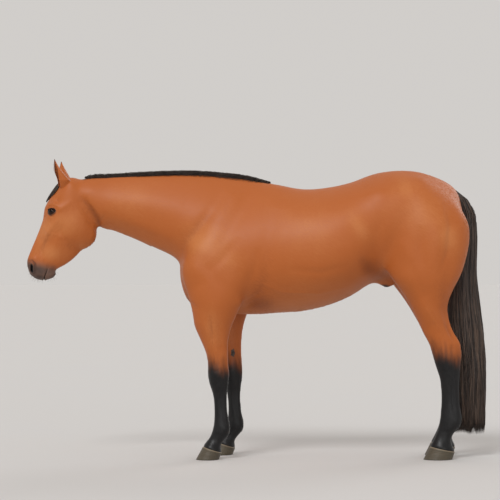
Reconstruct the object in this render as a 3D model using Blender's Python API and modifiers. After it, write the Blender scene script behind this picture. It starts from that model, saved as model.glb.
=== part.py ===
"""A bay stock horse standing square on all four feet, life size, parted where a person would name it.

Frame, in metres: X runs from the head (-) to the tail (+), Y from the left side (-) to the right
side (+), and Z up from the floor.  The flesh is lofted whole from measured sections, closed into one
skin, given its muscles, and then parted by thin cuts.  Hooves, eyes, ears and hair are pieces of
their own that meet the flesh with a hair's gap.
"""
import math

import bmesh
import bpy
import numpy as np

# The old scene
for old in list(bpy.data.objects):
    bpy.data.objects.remove(old)

# Driving sizes
GAP = 0.0003                  # between a piece and the flesh it rests on
CUT = 0.0004                  # width of the cuts that part the flesh
VOXEL = 0.006                 # grid of the closed skin
TORSO_ROUNDS = 110            # how many times the joined lofts are softened over the torso
ALL_ROUNDS = 8                # and everywhere
POLL_ROUNDS = 28              # and behind the poll once the muscles are on
LAST_ROUNDS = 2
LOFT_STEP = 0.012             # between the sections of trunk and neck
FINE_STEP = 0.008             # between those of head, limbs and sheath
AROUND = 48                   # points round a section
SHEATH_AROUND = 24
BODY_SHARE = 0.0092           # share of the fine faces that the parted flesh keeps
RIGHT_FORE_BACK = 0.074       # how far behind the left one the right forefoot stands
RIGHT_HIND_BACK = 0.030       # the same for the hind feet
FORE_HINGE = 1.25             # below these heights a limb swings back to its footprint
HIND_HINGE = 1.10
EYE = (-1.144, 0.059, 1.380)  # centre of the right eyeball
EYE_RADIUS = 0.0265
EYE_SEGMENTS = 14
EYE_RINGS = 9
EAR_BASE = (-1.079, 0.051, 1.558)
EAR_TIP = {"left": (-1.135, 0.070, 1.675), "right": (-1.110, 0.074, 1.668)}
EAR_DEPTH = 0.034             # half its breadth at the base, seen from the side
EAR_ROOT = -0.50              # where it starts below its base, as a fraction of its height
EAR_TUCK = 0.030              # how steeply its root runs in under the poll
EAR_WALL = 0.0055
EAR_FACING = (-0.90, 0.43)    # the way its hollow looks: forward, and out to its side
EAR_OPENING = (22, 54)        # half the angle it is open at its base, and how much more above
EAR_ROWS = 8
EAR_AROUND = 8
MANE_REACH = (-0.985, 0.075)  # x of its ends along the crest
MANE_RISE = 0.018             # the mane stands this far above the crest
MANE_DROP = 0.150             # and falls this far down the right side of the neck
MANE_THICK = 0.013
FORELOCK_REACH = (1.425, 1.578)  # z of its ends down the forehead
FORELOCK_THICK = 0.013
HAIR_SUNK = 0.012             # hair pieces start this deep and are then cut off at the flesh
TAIL_STEP = 0.105
TAIL_AROUND = 16
HOOF_FLARE = 0.005
HOOF_ROOM = 0.080             # height of the slab that clears the flesh for a hoof
HOOF_ROOM_HALF = (0.090, 0.070)  # half its length and half its breadth
HOOF_ROWS = 3
HOOF_AROUND = 22
HOOF_SEAT = GAP + 0.0001      # gap between coronet and hoof
GROUND_FORE = (-0.342, -0.212)  # x of toe and heel on the ground, left feet
GROUND_HIND = (0.925, 1.088)
SLAB_REACH = 0.45             # the parting slabs stand out this far to either side

# Sections.  Each row cuts a form across its length: x and z of its upper or front point, x and z of
# its lower or back point, the middle's y, and the half widths at 0, 45, 90, 135 and 180 degrees
# round from the first point to the second.
TRUNK = [
    (-0.435, 1.100, -0.425, 1.000, 0, 0.060, 0.095, 0.110, 0.100, 0.070),  # breast
    (-0.400, 1.260, -0.405, 0.900, 0, 0.090, 0.150, 0.190, 0.180, 0.120),
    (-0.340, 1.420, -0.370, 0.850, 0, 0.080, 0.155, 0.225, 0.220, 0.150),
    (-0.240, 1.530, -0.270, 0.825, 0, 0.060, 0.150, 0.235, 0.235, 0.160),
    (-0.120, 1.565, -0.140, 0.805, 0, 0.055, 0.165, 0.258, 0.245, 0.160),  # withers and girth
    (0.000, 1.562, 0.000, 0.802, 0, 0.065, 0.190, 0.275, 0.265, 0.180),
    (0.120, 1.543, 0.120, 0.811, 0, 0.130, 0.235, 0.295, 0.290, 0.210),
    (0.260, 1.517, 0.260, 0.821, 0, 0.190, 0.280, 0.315, 0.310, 0.240),    # back and barrel
    (0.400, 1.527, 0.400, 0.853, 0, 0.210, 0.295, 0.325, 0.315, 0.240),
    (0.540, 1.558, 0.540, 0.910, 0, 0.200, 0.290, 0.315, 0.300, 0.210),    # loin and flank
    (0.660, 1.603, 0.650, 0.977, 0, 0.190, 0.280, 0.290, 0.265, 0.170),    # point of hip
    (0.780, 1.622, 0.780, 1.004, 0, 0.190, 0.275, 0.275, 0.230, 0.140),    # croup
    (0.900, 1.617, 0.900, 0.990, 0, 0.170, 0.255, 0.260, 0.200, 0.120),
    (1.000, 1.588, 1.010, 1.020, 0, 0.140, 0.220, 0.235, 0.170, 0.100),
    (1.080, 1.550, 1.090, 1.000, 0, 0.110, 0.180, 0.200, 0.140, 0.080),
    (1.125, 1.510, 1.140, 1.050, 0, 0.080, 0.145, 0.165, 0.120, 0.070),    # root of the tail
    (1.155, 1.445, 1.165, 1.140, 0, 0.050, 0.090, 0.110, 0.080, 0.050),
]
NECK = [
    (-1.030, 1.560, -0.940, 1.350, 0, 0.042, 0.070, 0.078, 0.068, 0.036),  # throat
    (-0.950, 1.578, -0.885, 1.292, 0, 0.036, 0.073, 0.088, 0.078, 0.044),
    (-0.830, 1.583, -0.810, 1.272, 0, 0.032, 0.070, 0.095, 0.088, 0.052),
    (-0.680, 1.592, -0.690, 1.222, 0, 0.032, 0.074, 0.108, 0.103, 0.060),
    (-0.500, 1.600, -0.570, 1.162, 0, 0.036, 0.086, 0.130, 0.127, 0.076),
    (-0.330, 1.600, -0.470, 1.108, 0, 0.042, 0.105, 0.160, 0.160, 0.100),
    (-0.170, 1.588, -0.425, 1.050, 0, 0.047, 0.125, 0.188, 0.188, 0.120),  # base
    (-0.040, 1.572, -0.370, 0.980, 0, 0.047, 0.135, 0.200, 0.190, 0.120),
    (0.080, 1.545, -0.300, 0.960, 0, 0.040, 0.100, 0.150, 0.150, 0.090),
]
HEAD = [
    (-1.010, 1.578, -0.985, 1.480, 0, 0.020, 0.035, 0.045, 0.035, 0.020),  # poll
    (-1.060, 1.580, -0.965, 1.420, 0, 0.064, 0.080, 0.074, 0.060, 0.035),
    (-1.105, 1.540, -0.935, 1.370, 0, 0.078, 0.093, 0.083, 0.070, 0.040),
    (-1.145, 1.490, -0.905, 1.310, 0, 0.080, 0.097, 0.086, 0.072, 0.042),
    (-1.180, 1.440, -0.897, 1.262, 0, 0.088, 0.104, 0.088, 0.073, 0.040),  # forehead and jaw
    (-1.200, 1.395, -0.908, 1.218, 0, 0.086, 0.103, 0.087, 0.070, 0.036),
    (-1.207, 1.345, -0.940, 1.185, 0, 0.072, 0.092, 0.082, 0.062, 0.032),  # below the eye
    (-1.222, 1.298, -0.985, 1.162, 0, 0.055, 0.078, 0.076, 0.054, 0.028),
    (-1.241, 1.252, -1.010, 1.135, 0, 0.044, 0.064, 0.068, 0.048, 0.025),
    (-1.260, 1.208, -1.040, 1.108, 0, 0.038, 0.054, 0.060, 0.044, 0.024),
    (-1.279, 1.162, -1.075, 1.083, 0, 0.036, 0.048, 0.054, 0.042, 0.024),  # end of the nasal bone
    (-1.295, 1.120, -1.110, 1.065, 0, 0.038, 0.050, 0.052, 0.042, 0.026),
    (-1.299, 1.090, -1.135, 1.050, 0, 0.040, 0.054, 0.053, 0.042, 0.028),  # nostrils
    (-1.291, 1.055, -1.132, 1.028, 0, 0.038, 0.053, 0.052, 0.042, 0.028),
    (-1.275, 1.022, -1.150, 1.006, 0, 0.030, 0.044, 0.044, 0.036, 0.024),
    (-1.240, 0.998, -1.190, 0.994, 0, 0.012, 0.018, 0.018, 0.016, 0.010),  # lips
]
FORE = [
    (-0.170, 1.500, -0.060, 1.490, 0.080, 0.020, 0.030, 0.030, 0.030, 0.020),  # shoulder blade
    (-0.215, 1.430, -0.040, 1.410, 0.105, 0.030, 0.045, 0.050, 0.045, 0.030),
    (-0.305, 1.300, -0.025, 1.280, 0.140, 0.040, 0.065, 0.075, 0.065, 0.040),
    (-0.385, 1.180, -0.015, 1.160, 0.158, 0.060, 0.085, 0.095, 0.090, 0.070),
    (-0.425, 1.070, -0.020, 1.050, 0.170, 0.060, 0.090, 0.100, 0.095, 0.080),  # point of shoulder
    (-0.412, 0.970, -0.045, 0.950, 0.176, 0.060, 0.090, 0.102, 0.095, 0.070),
    (-0.385, 0.890, -0.080, 0.875, 0.178, 0.060, 0.088, 0.098, 0.086, 0.060),
    (-0.362, 0.815, -0.112, 0.800, 0.175, 0.055, 0.078, 0.085, 0.072, 0.045),  # elbow
    (-0.350, 0.745, -0.140, 0.735, 0.168, 0.050, 0.068, 0.072, 0.060, 0.036),
    (-0.318, 0.670, -0.156, 0.665, 0.160, 0.042, 0.056, 0.059, 0.048, 0.028),
    (-0.290, 0.600, -0.158, 0.600, 0.153, 0.038, 0.048, 0.050, 0.041, 0.026),
    (-0.277, 0.535, -0.157, 0.535, 0.149, 0.040, 0.047, 0.047, 0.040, 0.028),
    (-0.276, 0.475, -0.153, 0.475, 0.147, 0.046, 0.051, 0.050, 0.042, 0.030),  # knee
    (-0.268, 0.425, -0.157, 0.425, 0.146, 0.042, 0.046, 0.045, 0.037, 0.028),
    (-0.250, 0.370, -0.164, 0.370, 0.146, 0.030, 0.032, 0.031, 0.028, 0.022),
    (-0.241, 0.300, -0.165, 0.300, 0.145, 0.026, 0.028, 0.027, 0.026, 0.021),  # cannon
    (-0.240, 0.235, -0.158, 0.235, 0.145, 0.028, 0.030, 0.029, 0.028, 0.023),
    (-0.246, 0.180, -0.147, 0.185, 0.145, 0.034, 0.038, 0.038, 0.037, 0.028),  # fetlock
    (-0.256, 0.145, -0.152, 0.142, 0.145, 0.034, 0.038, 0.038, 0.036, 0.028),
    (-0.270, 0.118, -0.178, 0.108, 0.145, 0.030, 0.033, 0.034, 0.031, 0.025),  # pastern
    (-0.287, 0.097, -0.200, 0.078, 0.145, 0.036, 0.040, 0.042, 0.038, 0.032),
    (-0.301, 0.074, -0.196, 0.040, 0.145, 0.052, 0.056, 0.056, 0.050, 0.040),  # coronet
    (-0.308, 0.055, -0.195, 0.020, 0.145, 0.052, 0.056, 0.056, 0.050, 0.040),
]
HIND = [
    (0.820, 1.580, 0.950, 1.575, 0.070, 0.040, 0.060, 0.070, 0.060, 0.040),  # croup
    (0.740, 1.500, 1.050, 1.510, 0.100, 0.060, 0.100, 0.115, 0.090, 0.060),
    (0.700, 1.400, 1.120, 1.430, 0.125, 0.080, 0.125, 0.140, 0.120, 0.080),
    (0.685, 1.280, 1.175, 1.340, 0.147, 0.090, 0.135, 0.150, 0.130, 0.085),
    (0.690, 1.150, 1.188, 1.240, 0.160, 0.100, 0.135, 0.150, 0.130, 0.085),  # thigh and buttock
    (0.715, 1.050, 1.168, 1.120, 0.170, 0.100, 0.130, 0.140, 0.120, 0.080),
    (0.770, 0.965, 1.135, 1.015, 0.176, 0.085, 0.118, 0.122, 0.105, 0.070),  # stifle
    (0.820, 0.895, 1.090, 0.930, 0.174, 0.070, 0.096, 0.100, 0.088, 0.060),
    (0.860, 0.830, 1.064, 0.860, 0.168, 0.060, 0.080, 0.084, 0.072, 0.048),
    (0.892, 0.765, 1.069, 0.790, 0.160, 0.050, 0.066, 0.070, 0.058, 0.036),  # gaskin
    (0.926, 0.695, 1.096, 0.715, 0.154, 0.042, 0.053, 0.055, 0.044, 0.024),
    (0.956, 0.638, 1.133, 0.652, 0.150, 0.042, 0.050, 0.048, 0.036, 0.022),  # point of hock
    (0.974, 0.580, 1.142, 0.590, 0.147, 0.046, 0.052, 0.048, 0.036, 0.024),
    (0.992, 0.520, 1.137, 0.528, 0.146, 0.042, 0.047, 0.044, 0.034, 0.024),
    (1.014, 0.455, 1.131, 0.458, 0.145, 0.034, 0.037, 0.036, 0.030, 0.024),
    (1.023, 0.370, 1.129, 0.370, 0.144, 0.029, 0.032, 0.031, 0.029, 0.023),  # cannon
    (1.022, 0.290, 1.134, 0.290, 0.144, 0.030, 0.032, 0.032, 0.030, 0.025),
    (1.016, 0.225, 1.144, 0.222, 0.144, 0.035, 0.039, 0.040, 0.038, 0.029),  # fetlock
    (1.005, 0.170, 1.129, 0.178, 0.144, 0.034, 0.038, 0.039, 0.037, 0.029),
    (0.990, 0.132, 1.093, 0.138, 0.144, 0.031, 0.034, 0.035, 0.032, 0.026),  # pastern
    (0.975, 0.100, 1.084, 0.095, 0.144, 0.037, 0.041, 0.042, 0.039, 0.032),
    (0.963, 0.074, 1.102, 0.044, 0.144, 0.052, 0.056, 0.056, 0.050, 0.040),  # coronet
    (0.958, 0.055, 1.103, 0.024, 0.144, 0.052, 0.056, 0.056, 0.050, 0.040),
]
SHEATH = [
    (0.662, 1.000, 0.672, 0.975, 0, 0.012, 0.014, 0.014, 0.014, 0.010),
    (0.690, 1.015, 0.704, 0.950, 0, 0.022, 0.028, 0.030, 0.026, 0.016),
    (0.722, 1.020, 0.731, 0.938, 0, 0.028, 0.036, 0.038, 0.030, 0.018),
    (0.760, 1.025, 0.764, 0.955, 0, 0.028, 0.036, 0.038, 0.032, 0.022),
    (0.810, 1.020, 0.810, 0.985, 0, 0.020, 0.028, 0.032, 0.028, 0.020),
]
TAIL = [
    (1.080, 1.490, 1.125, 1.520, 0, 0.020, 0.028, 0.030, 0.028, 0.020),  # root, inside the rump
    (1.110, 1.450, 1.185, 1.472, 0, 0.030, 0.038, 0.040, 0.034, 0.024),
    (1.130, 1.380, 1.226, 1.400, 0, 0.036, 0.046, 0.050, 0.040, 0.024),
    (1.132, 1.280, 1.238, 1.290, 0, 0.038, 0.050, 0.054, 0.044, 0.024),
    (1.112, 1.150, 1.240, 1.150, 0, 0.040, 0.054, 0.058, 0.048, 0.026),
    (1.080, 1.000, 1.241, 1.000, 0, 0.042, 0.058, 0.063, 0.052, 0.028),
    (1.066, 0.850, 1.257, 0.850, 0, 0.046, 0.064, 0.070, 0.058, 0.032),
    (1.070, 0.700, 1.280, 0.700, 0, 0.048, 0.068, 0.076, 0.062, 0.034),  # at the hocks
    (1.084, 0.550, 1.290, 0.550, 0, 0.048, 0.070, 0.078, 0.064, 0.034),
    (1.094, 0.400, 1.291, 0.400, 0, 0.046, 0.068, 0.076, 0.062, 0.032),
    (1.098, 0.250, 1.289, 0.245, 0, 0.040, 0.060, 0.068, 0.054, 0.026),
    (1.102, 0.155, 1.286, 0.148, 0, 0.026, 0.044, 0.050, 0.040, 0.018),
    (1.106, 0.128, 1.280, 0.120, 0, 0.012, 0.022, 0.026, 0.020, 0.008),  # tips, clear of the floor
]

# Muscles and hollows: the side they are drawn on, their radius, their height in millimetres, and
# the line they follow in that side's plane (x, z; or y, z from the front and back; or x, y on top).
FORMS = [
    ("side", 0.060, -8, [(-0.18, 1.50), (-0.29, 1.33), (-0.38, 1.21), (-0.46, 1.09)]),  # shoulder's front
    ("side", 0.090, 6, [(-0.12, 1.48), (-0.22, 1.33), (-0.32, 1.18), (-0.38, 1.06)]),
    ("side", 0.055, -3, [(-0.03, 1.47), (-0.13, 1.30), (-0.24, 1.14)]),
    ("side", 0.150, 7, [(-0.08, 1.04)]),                                                # triceps
    ("side", 0.085, -8, [(0.10, 1.40), (0.06, 1.18), (0.00, 1.00), (-0.06, 0.87)]),
    ("side", 0.080, 6, [(-0.36, 1.06)]),
    ("side", 0.050, -4, [(-0.40, 0.90), (-0.35, 0.96), (-0.28, 1.00)]),
    ("side", 0.045, -3, [(-0.33, 1.12), (-0.23, 1.01), (-0.13, 0.91)]),
    ("side", 0.045, 7, [(-0.095, 0.87)]),                                               # elbow
    ("side", 0.080, -6, [(-0.02, 0.92)]),
    ("side", 0.050, -4, [(-0.90, 1.33), (-0.72, 1.285), (-0.55, 1.225), (-0.43, 1.14)]),  # jugular
    ("side", 0.140, 5, [(-0.85, 1.47), (-0.60, 1.44), (-0.40, 1.42)]),
    ("side", 0.070, 4, [(-0.80, 1.36), (-0.60, 1.28), (-0.46, 1.22)]),
    ("side", 0.045, 3, [(-0.925, 1.50)]),
    ("side", 0.036, -5, [(-1.00, 1.49), (-0.95, 1.41), (-0.89, 1.33), (-0.86, 1.26)]),  # behind the jaw
    ("side", 0.060, 5, [(-0.33, 0.84), (-0.315, 0.76), (-0.285, 0.66), (-0.27, 0.60)]),  # forearm
    ("both", 0.020, -3.5, [(-0.268, 0.86), (-0.258, 0.76), (-0.250, 0.68), (-0.245, 0.56)]),
    ("side", 0.020, -3, [(-0.215, 0.82), (-0.208, 0.72), (-0.20, 0.58)]),
    ("both", 0.045, 3, [(-0.165, 0.82), (-0.168, 0.74), (-0.175, 0.62)]),
    ("both", 0.050, 3, [(-0.230, 0.49)]),
    ("both", 0.017, -3, [(-0.180, 0.57), (-0.174, 0.51), (-0.180, 0.44)]),
    ("both", 0.013, -4, [(-0.193, 0.44), (-0.193, 0.34), (-0.190, 0.28), (-0.176, 0.19)]),
    ("both", 0.030, 3, [(-0.172, 0.172)]),
    ("side", 0.090, 9, [(0.665, 1.485)]),                                               # point of hip
    ("side", 0.120, -11, [(0.585, 1.46), (0.61, 1.34), (0.66, 1.18), (0.70, 1.06)]),    # flank
    ("side", 0.060, 6, [(0.86, 1.02), (0.76, 1.01), (0.66, 1.03), (0.54, 1.04)]),
    ("side", 0.090, 7, [(0.835, 0.99)]),                                                # stifle
    ("side", 0.050, -6, [(1.04, 1.50), (1.085, 1.36), (1.085, 1.22), (1.06, 1.08), (1.01, 0.93)]),
    ("side", 0.060, -5, [(0.92, 1.30), (0.90, 1.14), (0.925, 0.98), (0.965, 0.83)]),
    ("side", 0.180, 6, [(0.86, 1.48)]),
    ("side", 0.120, 5, [(1.00, 1.24)]),
    ("side", 0.035, -4, [(0.86, 1.07), (0.885, 0.97), (0.93, 0.90)]),
    ("both", 0.060, 5, [(0.90, 0.89), (0.93, 0.83), (0.965, 0.75)]),                    # gaskin
    ("both", 0.028, -8, [(1.02, 0.86), (1.048, 0.79), (1.075, 0.72), (1.105, 0.64)]),   # hamstring
    ("both", 0.050, 3, [(1.049, 0.565)]),
    ("both", 0.026, -5, [(1.080, 0.615)]),
    ("both", 0.014, -4, [(1.080, 0.52), (1.081, 0.42), (1.084, 0.32), (1.104, 0.23)]),
    ("both", 0.030, 3, [(1.115, 0.205)]),
    ("front", 0.060, -14, [(0, 0.78), (0, 0.94), (0, 1.04), (0, 1.20)]),  # between the breasts
    ("front", 0.080, 9, [(0.080, 0.88), (0.085, 0.98), (0.09, 1.08)]),
    ("front", 0.040, -6, [(0.145, 0.82), (0.150, 0.91), (0.155, 1.0)]),
    ("back", 0.070, -26, [(0, 0.86), (0, 1.05), (0, 1.25), (0, 1.46)]),  # between the buttocks
    ("back", 0.090, 6, [(0.11, 1.00), (0.12, 1.15), (0.12, 1.36)]),
    ("top", 0.055, -5, [(0.60, 0), (0.85, 0), (1.10, 0)]),
    ("top", 0.060, -4, [(0.05, 0), (0.35, 0), (0.65, 0)]),
    ("side", 0.024, -3, [(-1.12, 1.235), (-1.07, 1.212), (-1.03, 1.185), (-1.00, 1.15)]),  # cheek
    ("side", 0.018, 5, [(-1.10, 1.350), (-1.14, 1.305), (-1.175, 1.255), (-1.19, 1.22)]),  # crest
    ("side", 0.034, -4, [(-1.20, 1.29), (-1.22, 1.235), (-1.235, 1.17), (-1.24, 1.13)]),
    ("side", 0.022, 6, [(-1.20, 1.385), (-1.17, 1.418), (-1.125, 1.418), (-1.09, 1.39)]),  # brow
    ("side", 0.024, -6, [(-1.118, 1.445)]),  # hollow over the eye
    ("side", 0.022, 4, [(-1.12, 1.385), (-1.07, 1.415), (-1.02, 1.45)]),                # zygomatic arch
    ("side", 0.013, 4, [(-1.298, 1.112), (-1.262, 1.104), (-1.247, 1.070), (-1.256, 1.020)]),
    ("side", 0.013, -8, [(-1.274, 1.074)]),                                             # nostril
    ("side", 0.009, -5, [(-1.208, 0.975), (-1.188, 1.030), (-1.168, 1.090)]),           # corner of the lips
    ("side", 0.020, 3, [(-1.158, 1.030)]),
]


def smoothstep(x, a, b):
    t = np.clip((x - a) / (b - a), 0, 1)
    return t * t * (3 - 2 * t)


def through(keys, rows, at):
    """Read, at the places in at, the smooth curve that passes through rows at keys."""
    keys = np.asarray(keys, float)
    rows = np.asarray(rows, float)
    slope = np.gradient(rows, keys, axis=0)
    i = np.clip(np.searchsorted(keys, at, side="right") - 1, 0, len(keys) - 2)
    h = (keys[i + 1] - keys[i])[:, None]
    t = (at - keys[i])[:, None] / h
    start = (2 * t**3 - 3 * t**2 + 1) * rows[i] + (t**3 - 2 * t**2 + t) * h * slope[i]
    end = (3 * t**2 - 2 * t**3) * rows[i + 1] + (t**3 - t**2) * h * slope[i + 1]
    return start + end


def sections(rows, step):
    """Sections spaced a step apart along a form, between its first and last rows."""
    rows = np.asarray(rows, float)
    middle = np.stack([rows[:, 0] + rows[:, 2], 2 * rows[:, 4], rows[:, 1] + rows[:, 3]], 1) / 2
    lengths = np.linalg.norm(np.diff(middle, axis=0), axis=1)
    keys = np.concatenate([[0], np.cumsum(lengths)])
    count = max(2, int(keys[-1] / step) + 1)
    return through(keys, rows, np.linspace(0, keys[-1], count))


def outline(row, angles, out=0.0):
    """Points of one section at angles round from its first point, out metres off its surface."""
    width = through(np.linspace(0, math.pi, 5), row[5:, None], np.abs(angles))[:, 0]
    first = np.array([row[0], row[1]])
    last = np.array([row[2], row[3]])
    axis = (first - last) / np.linalg.norm(first - last)
    along = (1 + np.cos(angles)) / 2
    flat = last + (first - last) * along[:, None] + axis * (out * np.cos(angles))[:, None]
    y = row[4] + (width + out) * np.sin(angles)
    return np.stack([flat[:, 0], y, flat[:, 1]], 1)


def tube_faces(count, around):
    faces = []
    for i in range(count - 1):
        for j in range(around):
            a = i * around + j
            b = i * around + (j + 1) % around
            faces.append((a, b, b + around, a + around))
    return faces


def folded(rings):
    """Close rings that run out along a sheet and back along it, with a strip across each end."""
    count, around = len(rings), len(rings[0])
    faces = tube_faces(count, around)
    last = (count - 1) * around
    for j in range(around // 2 - 1):
        strip = (j, j + 1, around - 2 - j, around - 1 - j)
        faces.append(strip)
        faces.append([last + k for k in strip[::-1]])
    return np.concatenate(rings), faces


def skinned(rings):
    """Close a row of rings of points, each with the same count, into one mesh with fanned ends."""
    count, around = len(rings), len(rings[0])
    verts = np.concatenate([np.concatenate(rings), [rings[0].mean(0), rings[-1].mean(0)]])
    faces = tube_faces(count, around)
    first = count * around
    for j in range(around):
        after = (j + 1) % around
        faces.append((first, after, j))
        faces.append((first + 1, first - around + j, first - around + after))
    return verts, faces


def loft(rows, step=LOFT_STEP, around=AROUND):
    angles = np.linspace(-math.pi, math.pi, around, endpoint=False)
    return skinned([outline(row, angles) for row in sections(rows, step)])


def lean(z, hinge):
    """How much of a limb's swing back it has at height z: none at the hinge, all half way down."""
    return smoothstep(hinge - z, 0, hinge / 2)


def limb(rows, side, back, hinge):
    """A limb's rows set on one side, swung back there if it is the right limb."""
    rows = np.array(rows, float)
    if side > 0:
        swing = back * lean((rows[:, 1] + rows[:, 3]) / 2, hinge)
        rows[:, 0] += swing
        rows[:, 2] += swing
    rows[:, 4] *= side
    return rows


def mesh_object(name, pieces):
    """One object from a list of (vertices, faces), with its faces turned out."""
    bm = bmesh.new()
    for verts, faces in pieces:
        made = [bm.verts.new(v) for v in verts]
        for face in faces:
            bm.faces.new([made[i] for i in face])
    bmesh.ops.recalc_face_normals(bm, faces=bm.faces)
    mesh = bpy.data.meshes.new(name)
    bm.to_mesh(mesh)
    bm.free()
    ob = bpy.data.objects.new(name, mesh)
    bpy.context.scene.collection.objects.link(ob)
    return ob


def baked(ob, name):
    """Replace an object by a plain mesh of what its modifiers make of it."""
    graph = bpy.context.evaluated_depsgraph_get()
    mesh = bpy.data.meshes.new_from_object(ob.evaluated_get(graph))
    mesh.name = name
    bpy.data.objects.remove(ob)
    made = bpy.data.objects.new(name, mesh)
    bpy.context.scene.collection.objects.link(made)
    return made


def points(mesh, what):
    """A mesh's places ("co") or normals ("normal") as an array."""
    values = np.zeros(len(mesh.vertices) * 3, np.float32)
    mesh.vertices.foreach_get(what, values)
    return values.reshape(-1, 3).astype(float)


def weigh(ob, name, weights):
    """A vertex group that holds the weights to the nearest tenth."""
    group = ob.vertex_groups.new(name=name)
    tenths = np.round(weights * 10).astype(int)
    for tenth in range(1, 11):
        members = np.where(tenths == tenth)[0].tolist()
        if members:
            group.add(members, tenth / 10, "REPLACE")


def soften(ob, iterations, group=""):
    smooth = ob.modifiers.new("soften", "SMOOTH")
    smooth.factor = 0.5
    smooth.iterations = iterations
    smooth.vertex_group = group


def line_fullness(p, line):
    """Distance of plane points from a line, and the stroke's fullness there, fading to its ends."""
    line = np.asarray(line, float)
    if len(line) == 1:
        return np.hypot(*(p - line[0]).T), np.ones(len(p))
    steps = np.hypot(*np.diff(line, axis=0).T)
    best = np.full(len(p), np.inf)
    place = np.zeros(len(p))
    done = 0.0
    for a, b, length in zip(line[:-1], line[1:], steps):
        t = np.clip(((p - a) @ (b - a)) / length**2, 0, 1)
        distance = np.hypot(*(p - a - t[:, None] * (b - a)).T)
        near = distance < best
        best[near] = distance[near]
        place[near] = (done + t[near] * length) / steps.sum()
        done += length
    return best, np.sin(math.pi * place) ** 0.7


def shape_muscles(ob):
    """Raise and hollow the skin along the strokes in FORMS."""
    mesh = ob.data
    co = points(mesh, "co")
    normal = points(mesh, "normal")
    x = co[:, 0].copy()
    y, z = np.abs(co[:, 1]), co[:, 2]
    right = co[:, 1] > 0
    fore, hind = right & (x < 0.3), right & (x > 0.5)
    x[fore] -= RIGHT_FORE_BACK * lean(z[fore], FORE_HINGE)
    x[hind] -= RIGHT_HIND_BACK * lean(z[hind], HIND_HINGE)
    outward = normal[:, 1] * np.sign(co[:, 1])
    side_plane = np.stack([x, z], 1)
    end_plane = np.stack([y, z], 1)
    views = {
        "side": (side_plane, smoothstep(outward, -0.1, 0.45)),
        "both": (side_plane, smoothstep(np.abs(outward), 0.1, 0.45)),
        "front": (end_plane, smoothstep(-normal[:, 0], 0, 0.5) * (x < -0.2) * (x > -0.6)),
        "back": (end_plane, smoothstep(normal[:, 0], 0, 0.5) * (x > 0.95)),
        "top": (np.stack([x, y], 1), smoothstep(normal[:, 2], 0.2, 0.7)),
    }
    lift = np.zeros(len(co))
    for view, radius, height, line in FORMS:
        plane, facing = views[view]
        distance, fullness = line_fullness(plane, line)
        lift += height * 0.001 * facing * fullness * np.exp(-2.2 * (distance / radius) ** 2)
    co += normal * lift[:, None]
    mesh.vertices.foreach_set("co", co.astype(np.float32).ravel())
    mesh.update()


def whole_body():
    """The flesh in one closed skin: lofts joined on a grid, softened, given muscles, thinned out."""
    pieces = [loft(TRUNK), loft(NECK), loft(HEAD, FINE_STEP), loft(SHEATH, FINE_STEP, SHEATH_AROUND)]
    for side in (-1, 1):
        pieces.append(loft(limb(FORE, side, RIGHT_FORE_BACK, FORE_HINGE), FINE_STEP))
        pieces.append(loft(limb(HIND, side, RIGHT_HIND_BACK, HIND_HINGE), FINE_STEP))
    ob = mesh_object("flesh", pieces)
    remesh = ob.modifiers.new("close", "REMESH")
    remesh.mode = "VOXEL"
    remesh.voxel_size = VOXEL
    ob = baked(ob, "flesh")
    co = points(ob.data, "co")
    weigh(ob, "torso", smoothstep(co[:, 2], 0.80, 0.98) * smoothstep(co[:, 0], -0.80, -0.55))
    soften(ob, TORSO_ROUNDS, "torso")
    soften(ob, ALL_ROUNDS)
    ob = baked(ob, "flesh")
    shape_muscles(ob)
    co = points(ob.data, "co")
    behind = smoothstep(co[:, 0], -1.15, -1.06) * (1 - smoothstep(co[:, 0], -0.90, -0.80))
    weigh(ob, "poll", behind * smoothstep(co[:, 2], 1.36, 1.48))
    soften(ob, POLL_ROUNDS, "poll")
    soften(ob, LAST_ROUNDS)
    thin = ob.modifiers.new("thin", "DECIMATE")
    thin.ratio = BODY_SHARE
    return baked(ob, "flesh")


def box_between(start, end, reach, thick):
    """A slab that stands on a line in the side plane, thick across it and reach to either side."""
    a = np.array([start[0], 0, start[1]], float)
    b = np.array([end[0], 0, end[1]], float)
    along = (b - a) / np.linalg.norm(b - a)
    across = np.array([along[2], 0, -along[0]]) * thick / 2
    wide = np.array([0, reach, 0])
    rings = [np.array([p - across - wide, p + across - wide, p + across + wide, p - across + wide])
             for p in (a, b)]
    return skinned(rings)


def cut_by(ob, cutter):
    """What is left of an object outside a cutter."""
    modifier = ob.modifiers.new("cut", "BOOLEAN")
    modifier.operation = "DIFFERENCE"
    modifier.solver = "EXACT"
    modifier.object = cutter
    return baked(ob, ob.name)


def loose_parts(ob):
    """The separate bodies of an object's mesh, as lists of face indices."""
    bm = bmesh.new()
    bm.from_mesh(ob.data)
    bm.faces.ensure_lookup_table()
    seen = set()
    parts = []
    for seed in bm.faces:
        if seed.index in seen:
            continue
        seen.add(seed.index)
        part = [seed.index]
        for index in part:
            for edge in bm.faces[index].edges:
                for face in edge.link_faces:
                    if face.index not in seen:
                        seen.add(face.index)
                        part.append(face.index)
        parts.append(part)
    bm.free()
    return parts


def piece_of(ob, part, name):
    """A new object from some of an object's faces, as triangles."""
    mesh = ob.data
    used = sorted({v for f in part for v in mesh.polygons[f].vertices})
    place = {v: i for i, v in enumerate(used)}
    verts = [mesh.vertices[v].co for v in used]
    faces = [[place[v] for v in mesh.polygons[f].vertices] for f in part]
    made = bpy.data.meshes.new(name)
    made.from_pydata(verts, [], faces)
    bm = bmesh.new()
    bm.from_mesh(made)
    bmesh.ops.dissolve_degenerate(bm, edges=bm.edges, dist=1e-6)
    bmesh.ops.triangulate(bm, faces=bm.faces)
    bm.to_mesh(made)
    bm.free()
    piece = bpy.data.objects.new(name, made)
    bpy.context.scene.collection.objects.link(piece)
    return piece


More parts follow.
